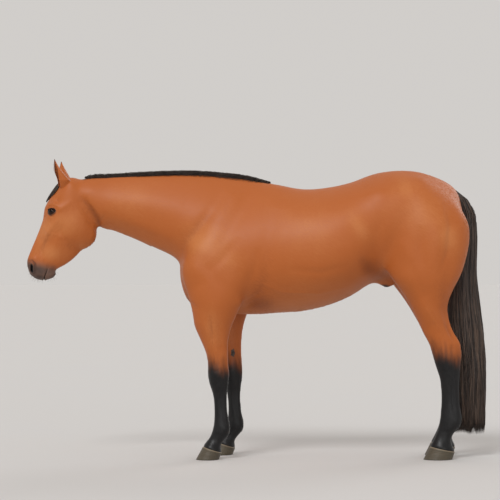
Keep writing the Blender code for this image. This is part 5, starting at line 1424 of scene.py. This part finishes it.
# Its path: up off the crest, over to the right and down, gathered, swept back and waved
steps = np.linspace(0, 1, 9)[None] ** 1.55
start = rng.uniform(-0.40, 0.40, MANE_LOCKS)[:, None]
angle = start + (lowest[:, None] - start) * steps ** (0.80 + 0.35 * rng.random((MANE_LOCKS, 1)))
rise = full[:, None] * MANE_RISE * rng.uniform(0.45, 1.0, (MANE_LOCKS, 1))
lift = rise * np.sin(math.pi * np.clip(steps * 2.2, 0, 0.5)) * (1 - 0.78 * smoothstep(steps, 0.15, 1.0))
lift = lift - ROOT_SINK * fade(steps, 0.0, 0.10) + HAIR_CLEAR
gather = (np.interp(clump, crest_x, table) - part)[:, None] * smoothstep(steps, 0.3, 1.0) * 0.28
swept = rng.uniform(0.006, 0.034, (MANE_LOCKS, 1)) * smoothstep(steps, 0.0, 0.5) * full[:, None]
wave = 0.0035 * np.sin(steps * rng.uniform(4, 9, (MANE_LOCKS, 1)) + rng.uniform(0, 6, (MANE_LOCKS, 1)))
paths = neck.surface(part[:, None] + gather + wave * steps + swept, angle, lift)
seat = part[:, None] + 0 * steps
out_of = neck.surface(seat, angle, lift + 0.01) - neck.surface(seat, angle, lift)
widths = MANE_HALF * (0.40 + 0.60 * smoothstep(steps, 0.0, 0.20) - 0.5 * steps**2)
widths = widths * rng.uniform(0.7, 1.25, (MANE_LOCKS, 1))
mane, within = locks("mane_hair", paths, widths, HAIR, out_of, LOCK_FLAT, rng.random(MANE_LOCKS))
lay_out(mane, paths[:, 0], unit(out_of[:, 0]), within)
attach(mane, "root")
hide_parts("mane")


# ------------------------------------------------------------------------------
# Forelock.  The front of the mane: a lock that starts between the ears and hangs down the
# forehead, drawn together at its end.
# ------------------------------------------------------------------------------
FORELOCK_LOCKS = 420
FORELOCK_REACH = (1.576, 1.432)  # z of its ends down the forehead
FORELOCK_SPREAD = (0.050, 0.060)  # over what heights its locks start and end
FORELOCK_RISE = 0.0125
FORELOCK_SINK = 0.005
FORELOCK_HALF = 0.0015  # half the width of a lock
FOREHEAD_TO = 0.6  # the part of the head's length that it can lie on
head = Form(HEAD)
front = table < FOREHEAD_TO
brow_z = head.at(table)[front, 1]
order = np.argsort(brow_z)
crown_z, brow_end = FORELOCK_REACH
start_z = rng.uniform(crown_z - FORELOCK_SPREAD[0], crown_z, FORELOCK_LOCKS)
end_z = brow_end + FORELOCK_SPREAD[1] * rng.random(FORELOCK_LOCKS) ** 1.6
steps = np.linspace(0, 1, 11)[None]
z = start_z[:, None] + (end_z - start_z)[:, None] * steps
part = np.interp(z.ravel(), brow_z[order], table[front][order]).reshape(z.shape)
down = (crown_z - z) / (crown_z - brow_end)

# Each lock keeps its place across the forelock, which widens and is drawn together again
seat = rng.uniform(-1, 1, (FORELOCK_LOCKS, 1))
half = (0.012 + 0.020 * np.sin(math.pi * down.clip(0, 1))) * (1 - 0.66 * down**3)
half = half / head.at(part.ravel())[:, 6].reshape(z.shape)
loose = 1 + 0.30 * rng.normal(0, 1, (FORELOCK_LOCKS, 1)) * steps
angle = (seat + 0.06 * np.sin(steps * 7 + seat * 20)) * half * loose
crown = FORELOCK_RISE * (0.45 + 0.55 * np.sin(math.pi * (0.15 + 0.80 * down.clip(0, 1))))
layer = rng.random((FORELOCK_LOCKS, 1)) ** 0.6
lift = crown * layer * np.cos(seat * 1.45) - FORELOCK_SINK * fade(steps, 0.0, 0.10) + HAIR_CLEAR
paths = head.surface(part, angle, lift)
out_of = head.surface(part, angle, lift + 0.01) - paths
widths = FORELOCK_HALF * (1 - 0.5 * steps**2) * rng.uniform(0.7, 1.2, (FORELOCK_LOCKS, 1))
shades = rng.random(FORELOCK_LOCKS)
forelock, within = locks("forelock_hair", paths, widths, HAIR, out_of, LOCK_FLAT, shades)
lay_out(forelock, paths[:, 0], unit(out_of[:, 0]), within)
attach(forelock, "root")
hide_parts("forelock")


# ------------------------------------------------------------------------------
# Tail.  Long coarse hair that grows all round the dock, closes over it, and hangs in overlapping
# locks to below the hocks, ragged at the ends.
# ------------------------------------------------------------------------------
TAIL = [
    (1.080, 1.490, 1.125, 1.520, 0, 0.020, 0.028, 0.030, 0.028, 0.020),  # root, inside the rump
    (1.110, 1.450, 1.185, 1.472, 0, 0.030, 0.038, 0.040, 0.034, 0.024),
    (1.130, 1.380, 1.226, 1.400, 0, 0.036, 0.046, 0.050, 0.040, 0.024),
    (1.132, 1.280, 1.238, 1.290, 0, 0.038, 0.050, 0.054, 0.044, 0.024),
    (1.112, 1.150, 1.240, 1.150, 0, 0.040, 0.054, 0.058, 0.048, 0.026),
    (1.080, 1.000, 1.241, 1.000, 0, 0.042, 0.058, 0.063, 0.052, 0.028),
    (1.066, 0.850, 1.257, 0.850, 0, 0.046, 0.064, 0.070, 0.058, 0.032),
    (1.070, 0.700, 1.280, 0.700, 0, 0.048, 0.068, 0.076, 0.062, 0.034),  # at the hocks
    (1.084, 0.550, 1.290, 0.550, 0, 0.048, 0.070, 0.078, 0.064, 0.034),
    (1.094, 0.400, 1.291, 0.400, 0, 0.046, 0.068, 0.076, 0.062, 0.032),
    (1.098, 0.250, 1.289, 0.245, 0, 0.040, 0.060, 0.068, 0.054, 0.026),
    (1.102, 0.155, 1.286, 0.148, 0, 0.026, 0.044, 0.050, 0.040, 0.018),
    (1.106, 0.128, 1.280, 0.120, 0, 0.012, 0.022, 0.026, 0.020, 0.008),  # tips, clear of the floor
]
TAIL_LOCKS = 1900  # in each layer
TAIL_CLUMPS = 90
TAIL_HALF = 0.0024  # half the width of a lock at its root
TAIL_RAGGED = 0.35  # one lock in ten ends up to this much of the length short
TAIL_DRAWN = 0.62  # how far locks are drawn together into clumps at the ends
TAIL_LAYERS = {"outer": (0.80, 0.19, 1), "inner": (0.25, 0.60, 0.5)}  # how far out, more, its power
tail = Form(TAIL)
rng = np.random.default_rng(23)
tail_steps = np.linspace(0, 1, 18)[None]
clump_turn = rng.uniform(-math.pi, math.pi, TAIL_CLUMPS)
clump_deep = 0.60 + 0.39 * np.sqrt(rng.random(TAIL_CLUMPS))
clump_end = 1 - 0.035 * rng.random(TAIL_CLUMPS) ** 1.6
for piece, (least, more, power) in TAIL_LAYERS.items():
    mine = rng.integers(0, TAIL_CLUMPS, TAIL_LOCKS)
    turn = (clump_turn[mine] + rng.normal(0, 0.33, TAIL_LOCKS))[:, None]
    reach = (least + more * rng.random(TAIL_LOCKS) ** power)[:, None]
    begin = 0.30 * rng.random(TAIL_LOCKS)[:, None] ** 1.3
    stop = clump_end[mine] - 0.012 * rng.random(TAIL_LOCKS)
    stop = stop - TAIL_RAGGED * (rng.random(TAIL_LOCKS) < 0.10) * rng.random(TAIL_LOCKS)
    stop = stop[:, None]

    # Its path: from the dock's surface down, its clump's hairs drawing together to a ragged end
    part = begin + (stop - begin) * tail_steps
    grown = smoothstep(tail_steps * (stop - begin), 0.0, 0.10)
    together = smoothstep(part, 0.45, 1.0) * TAIL_DRAWN
    wave = 0.05 * np.sin(part * rng.uniform(5, 11, turn.shape) + rng.uniform(0, 6, turn.shape))
    angle = turn + (clump_turn[mine][:, None] - turn) * together + wave
    away = reach + (clump_deep[mine][:, None] - reach) * together * 0.6
    away = (0.35 + 0.65 * grown) * away * (1 + 0.03 * np.sin(part * 23 + turn * 5))
    middle, edge = tail.middle(part), tail.surface(part, angle)
    paths = middle + (edge - middle) * away[..., None]
    widths = TAIL_HALF * (1 - 0.60 * tail_steps**3) * rng.uniform(0.7, 1.25, turn.shape)
    shades, outward = rng.random(TAIL_LOCKS), unit(edge - middle)
    hair, within = locks("tail_hair_" + piece, paths, widths, HAIR, outward, LOCK_FLAT, shades)
    lay_out(hair, paths[:, 0], outward[:, 0], within)
    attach(hair, "root")
    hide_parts("tail")


# ------------------------------------------------------------------------------
# Coat.  Short flat hair in overlapping tufts that follow its lie: back over the neck and body,
# down the limbs and the face, up the ears; longest at the fetlocks, jaw and belly, shortest on the
# face and legs.
# ------------------------------------------------------------------------------
TUFTS = {"head": 17000, "neck": 7500, "trunk_left": 9000, "trunk_right": 9000, "quarters": 11500,
         "forelegs": 9500, "hindlegs": 9500}
LONGER = [  # where hair is longer: radius, times longer, and a line in the side plane
    (0.030, 2.2, [(-0.158, 0.150), (-0.168, 0.175)]),  # backs of the fetlocks
    (0.030, 2.2, [(1.123, 0.178), (1.137, 0.205)]),
    (0.018, 1.5, [(-0.160, 0.45), (-0.165, 0.32), (-0.160, 0.22)]),  # backs of the cannons
    (0.018, 1.5, [(1.136, 0.48), (1.130, 0.36), (1.137, 0.25)]),
    (0.030, 1.5, [(-0.90, 1.262), (-0.945, 1.190), (-1.010, 1.140), (-1.09, 1.075)]),  # jaw
    (0.030, 1.6, [(-0.05, 0.83), (0.10, 0.81), (0.30, 0.825), (0.50, 0.90)]),  # belly
    (0.040, 1.4, [(1.16, 1.35), (1.18, 1.20), (1.15, 1.05)]),  # buttock
]
COAT_LENGTH = 0.0105
HEAD_END, NECK_END, TRUNK_END = -0.93, -0.38, 0.62  # x where pieces of the coat meet
FORELEG_TOP, HINDLEG_TOP = 0.78, 0.90
TUFT_ALONG = np.array([0.0, 0.45, 1.0])  # a tuft's points: how far along it, and how high
TUFT_HIGH = np.array([-0.3, 0.55, 1.0])
TUFT_WIDE = np.array([0.9, 1.0, 0.1])
TUFT_HALF = 0.11  # half its greatest width as a share of its length
TUFT_FLAT = 0.24
TUFT_STRAY = 0.10  # how far tufts stray from the hair's lie
TUFT_SINK = 0.00050
hide.data.calc_loop_triangles()
corners = np.zeros(len(hide.data.loop_triangles) * 3, np.int32)
hide.data.loop_triangles.foreach_get("vertices", corners)
corners = corners.reshape(-1, 3)
skin_co, skin_normal = points(hide), points(hide, "normal")
wedge = skin_co[corners]
area = np.linalg.norm(np.cross(wedge[:, 1] - wedge[:, 0], wedge[:, 2] - wedge[:, 0]), axis=1) / 2
centre = wedge.mean(1)
level = squared(centre)
facing = unit(skin_normal[corners].mean(1))


def beside_ears(co):
    """Share of ear at places: 0 on the poll, 1 on the ears."""
    share = np.zeros(len(co))
    for sign in SIDES.values():
        near = np.linalg.norm((co - mirrored(EAR_BASE, sign))[:, :2], axis=1) < 0.075
        share = np.maximum(share, near * smoothstep(co[:, 2], 1.560, 1.585) * (co[:, 0] < -1.035))
    return share


def lie(co, normal):
    """The way the hair lies at places on the skin."""
    x, _, z = squared(co).T
    y = np.abs(co[:, 1])
    throat = smoothstep(x, -1.12, -1.02) * fade(x, -0.95, -0.86)
    turns = [
        ((0.62, 0.0, -0.78), smoothstep(-x, 0.25, 0.60)),  # neck
        ((0.35, 0.0, -0.94), smoothstep(x, 0.85, 1.10)),  # buttocks
        ((0.95, 0.0, 0.12), smoothstep(-normal[:, 2], 0.3, 0.8) * (z > 0.7)),  # belly
        ((0.98, 0.0, -0.05), smoothstep(normal[:, 2], 0.5, 0.9) * (x > -0.9)),  # back
        ((0.05, 0.0, -1.0), fade(z, 0.74, 0.95)),  # legs
        (HAIR_LIES["face"], fade(x, -1.10, -0.98)),
        ((0.10, 0.0, -1.0), throat),
        ((-0.25, 0.0, 0.97), beside_ears(co)),
    ]
    way = np.tile(HAIR_LIES["body"], (len(co), 1))
    for direction, share in turns:
        way = way + (np.array(direction) - way) * share[:, None]
    way = way + 0.10 * np.stack([np.sin(9 * z + 5 * y), 0.6 * np.sin(11 * x), np.sin(7 * x + 4 * z)], 1)
    return unit(way - normal * (way * normal).sum(1)[:, None])


def length_of(co):
    """How long the hair is at places on the skin, and how many times longer than round them."""
    x, _, z = squared(co).T
    size, longer = np.full(len(co), COAT_LENGTH), np.ones(len(co))
    size *= 1 - 0.34 * fade(z, 0.45, 0.80)  # legs
    size *= 1 - 0.52 * fade(x, -1.08, -0.90)  # face
    size *= 1 - 0.25 * (x < -1.08) * fade(z, 1.06, 1.14)  # muzzle
    for radius, times, line in LONGER:
        distance, _ = line_fullness(np.stack([x, z], 1), line)
        longer *= 1 + (times - 1) * bell(distance, 0, radius, 2)
    for sign in SIDES.values():
        _, _, h, apart, _ = beside(co, LIDS, sign)
        size *= 1 - 0.45 * (h > 0) * fade(apart, 0.004, 0.020)
    return size * longer, longer


def bare(co):
    """Places where no hair grows: inside the lids, the nostrils and the parting of the lips."""
    none = np.zeros(len(co), bool)
    for sign in SIDES.values():
        _, _, h, apart, _ = beside(co, LIDS, sign)
        none |= (h > 0) & (apart < 0.0022)
        _, _, h, apart, _ = beside(co, NOSTRILS, sign)
        none |= (h > -0.04) & (co[:, 1] * sign > 0) & (apart < 0.0015)
    gap, _ = line_fullness(co[:, [0, 2]], LIPS)
    return none | ((co[:, 0] < -1.12) & (co[:, 2] < 1.08) & (gap < 0.004))


def under_hoof(co):
    """Places on the skin that go down into the hooves."""
    hidden = np.zeros(len(co), bool)
    for pair in LIMBS:
        own = (co[:, 2] < 0.2) & ((co[:, 0] > 0.5) == (pair == "hind"))
        for sign in SIDES.values():
            _, toe, down = coronet_of(pair, sign)
            below = (co[:, [0, 2]] - toe) @ down
            hidden |= own & (co[:, 1] * sign > 0) & (below > -0.001)
    return hidden


x, z = level[:, 0], level[:, 2]
trunk = (x >= NECK_END) & (x < TRUNK_END)
regions = {  # where each piece of the coat grows; a later one takes from an earlier
    "head": x < HEAD_END,
    "neck": (x >= HEAD_END) & (x < NECK_END),
    "trunk_left": trunk & (centre[:, 1] < 0),
    "trunk_right": trunk & (centre[:, 1] >= 0),
    "quarters": x >= TRUNK_END,
    "forelegs": (z < FORELEG_TOP) & (x < 0.3) & (x > -0.6),
    "hindlegs": (z < HINDLEG_TOP) & (x > TRUNK_END),
}
part_of = np.full(len(centre), "", dtype="<U12")
for part, region in regions.items():
    part_of[region] = part
allowed = ~bare(centre) & ~under_hoof(centre)
size, longer = length_of(centre)
wanted = area / size**1.3 * allowed
rng = np.random.default_rng(31)
for part, count in TUFTS.items():
    pick = np.where(part_of == part)[0]
    chance = wanted[pick] / wanted[pick].sum()
    at = pick[rng.choice(len(pick), count, p=chance)]
    mix = rng.dirichlet((1, 1, 1), count)
    root = (skin_co[corners[at]] * mix[..., None]).sum(1)
    out = unit((skin_normal[corners[at]] * mix[..., None]).sum(1))
    way = unit(lie(root, out) + rng.normal(0, TUFT_STRAY, (count, 3)))
    way = unit(way - out * (way * out).sum(1)[:, None])
    long = size[at] * rng.uniform(0.75, 1.25, count)
    rise = long * rng.uniform(0.030, 0.075, count) * (1 + 1.4 * (longer[at] - 1))
    height = TUFT_HIGH[:, None] * rise[:, None, None] - TUFT_SINK
    paths = root[:, None] + way[:, None] * long[:, None, None] * TUFT_ALONG[:, None] + out[:, None] * height
    widths = (long * TUFT_HALF * rng.uniform(0.7, 1.2, count))[:, None] * TUFT_WIDE
    tufts, within = locks("coat_" + part, paths, widths, COAT, out[:, None], TUFT_FLAT, laid=True)
    # each tuft takes the skin's markings, painted highlight and painted shade at its root, then a random
    # paler or darker tone through those two channels
    marks = marks_and_painted_light(root, out)
    shade = rng.normal(0, 0.10, count)
    marks[:, 2] = np.clip(marks[:, 2] + np.maximum(shade, 0), 0, 1)
    marks[:, 3] = np.clip(marks[:, 3] + np.maximum(-shade, 0), 0, 1)
    store_marks_and_painted_light(tufts, np.repeat(marks, len(within) // count, 0))
    lay_out(tufts, root, out, within)
    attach(tufts, "root")


# ------------------------------------------------------------------------------
# Lashes, whiskers and ear hair.  Stiff dark lashes stand out from the upper lids, single long
# whiskers from the lips, chin and round the eyes, and soft hair lies across the ears' openings.
# ------------------------------------------------------------------------------
LASHES = 64  # on each upper lid
LASH_LENGTH = 0.019
LASH_SPAN = (22, 158)  # the angles round the opening that they grow at
LASH_SEAT = 0.0022  # how far out of the ball they grow
LASH_DROOP = 0.34
WHISKERS = 100
WHISKER_LENGTH = (0.010, 0.028)
BY_THE_EYE = [(-1.150, 1.345, 0.8), (-1.150, 1.420, 0.6)]  # x, z and share of whiskers there
HAIR_HALF = 0.0003  # half the thickness of one lash or whisker
HAIR_FLAT = 0.5
EAR_HAIRS = 420  # in each ear
EAR_HAIR_HALF = 0.00034
EAR_FROM = 0.10  # height up the ear where they begin
HAIR_PARTS = np.linspace(0, 1, 6)
WHISKER_DARK = display(28, 24, 23)
WHISKER_WORN = display(74, 58, 48)
steps = HAIR_PARTS[None, :, None]


def whisker_paint(p):
    """Stiff dark hair, worn paler in streaks."""
    streak = p.noise(p.node("TexCoord", out=3), 700.0, 2.0)
    tone = p.mix(WHISKER_DARK, WHISKER_WORN, streak.step(0.3, 0.8))
    return {"Base Color": tone, "Roughness": 0.36 + streak * 0.2}


WHISKER = material("whisker", whisker_paint)
rng = np.random.default_rng(57)

# Lashes: they stand out of the lid's edge, spread to both ends, and droop
for side, sign in SIDES.items():
    rear, up, out = directions(mirrored(EYE_LOOK, sign))
    turn = np.radians(rng.uniform(*LASH_SPAN, LASHES))
    keys = np.radians(np.linspace(0, 360, len(LID_OPENING) + 1))
    far = np.interp(turn, keys, [*LID_OPENING, LID_OPENING[0]]) + rng.uniform(0.0002, 0.0012, LASHES)
    a, b = far * np.cos(turn), far * np.sin(turn)
    high = np.sqrt((EYE_RADIUS + LASH_SEAT) ** 2 - a**2 - b**2)
    root = mirrored(EYE, sign) + a[:, None] * rear + b[:, None] * up + high[:, None] * out
    ahead = out + 0.42 * (a / far)[:, None] * rear + rng.normal(0.10, 0.08, (LASHES, 1)) * up
    long = LASH_LENGTH * (0.55 + 0.45 * np.sin(turn)) * rng.uniform(0.75, 1.15, LASHES)
    reach = unit(ahead)[:, None] * long[:, None, None]
    droop = np.array([0, 0, LASH_DROOP]) * long[:, None, None] * steps**1.8
    paths = root[:, None] + reach * steps - droop
    widths = HAIR_HALF * (1 - 0.55 * HAIR_PARTS) * np.ones((LASHES, 1))
    lashes, within = locks("lashes_" + side, paths, widths, WHISKER, up, HAIR_FLAT)
    lay_out(lashes, root, np.tile(out, (LASHES, 1)), within)
    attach(lashes, "root")

# Whiskers: on the lips and chin, and a few by the eyes
x, y, z = centre.T
chin = (x < -1.13) * fade(z, 1.02, 1.09) + 0.35 * (x < -1.22) * fade(z, 1.05, 1.13)
by_eye = sum(bell(np.hypot(x - px, z - pz), 0, 0.016) * share for px, pz, share in BY_THE_EYE)
chance = area * (chin + by_eye) * ~bare(centre) * (np.abs(y) < 0.12) * (x < -1.1)
at = rng.choice(len(centre), WHISKERS, p=chance / chance.sum())
root = centre[at] - facing[at] * 0.0008
long = rng.uniform(*WHISKER_LENGTH, WHISKERS)
ahead = unit(facing[at] + rng.normal(0, 0.22, (WHISKERS, 3)) + np.array([-0.10, 0, -0.15]))
bend = rng.normal(0, 0.10, (WHISKERS, 3)) + np.array([0, 0, -0.22])
paths = root[:, None] + long[:, None, None] * (ahead[:, None] * steps + bend[:, None] * steps**2)
widths = HAIR_HALF * (1 - 0.5 * HAIR_PARTS) * np.ones((WHISKERS, 1))
whiskers, within = locks("whiskers", paths, widths, WHISKER, np.array([0.1, 0.7, 0.7]), HAIR_FLAT)
lay_out(whiskers, root, facing[at], within)
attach(whiskers, "root")

# Ear hair: each starts at one edge of the opening and lies part of the way across it
first = int(EAR_ROWS * (EAR_FROM - EAR_ROOT) / (1 - EAR_ROOT))
for side in SIDES:
    rings = cupped(side)
    row = rng.integers(first, EAR_ROWS - 12, EAR_HAIRS)
    edge = rng.integers(0, 2, EAR_HAIRS)
    deep = rng.integers(0, 3, EAR_HAIRS)
    column = np.where(edge == 0, 2 * EAR_AROUND - 1 - deep, EAR_AROUND + deep)
    other = np.where(edge == 0, EAR_AROUND + 1, 2 * EAR_AROUND - 2)
    root = rings[row, column]
    goal = rings[np.minimum(row + rng.integers(22, 46, EAR_HAIRS), EAR_ROWS - 1), other]
    share = rng.uniform(0.22, 0.52, (EAR_HAIRS, 1))
    inner = rings[row, EAR_AROUND + EAR_AROUND // 2]
    mouth = unit((rings[row, 0] + rings[row, EAR_AROUND - 1]) / 2 - inner)
    span = (goal - root) * share
    bulge = mouth * np.linalg.norm(span, axis=1, keepdims=True) * rng.uniform(-0.05, 0.30, (EAR_HAIRS, 1))
    stray = rng.normal(0, 0.0016, (EAR_HAIRS, 1, 3)) * steps
    paths = root[:, None] + span[:, None] * steps + bulge[:, None] * np.sin(math.pi * steps * 0.6) + stray
    widths = EAR_HAIR_HALF * (1 - 0.6 * HAIR_PARTS) * rng.uniform(0.7, 1.3, (EAR_HAIRS, 1))
    hairs, within = locks("ear_hair_" + side, paths, widths, COAT, mouth[:, None], 0.4)
    # ear hair colour: a little black and painted highlight, and half painted shade, for the shade inside the
    # ear
    marks = np.tile([0.22, 0.0, 0.25, 0.5], (EAR_HAIRS, 1)) + rng.uniform(-0.15, 0.15, (EAR_HAIRS, 1))
    store_marks_and_painted_light(hairs, np.repeat(marks.clip(0, 1), len(within) // EAR_HAIRS, 0))
    lay_out(hairs, root, mouth, within)
    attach(hairs, "root")
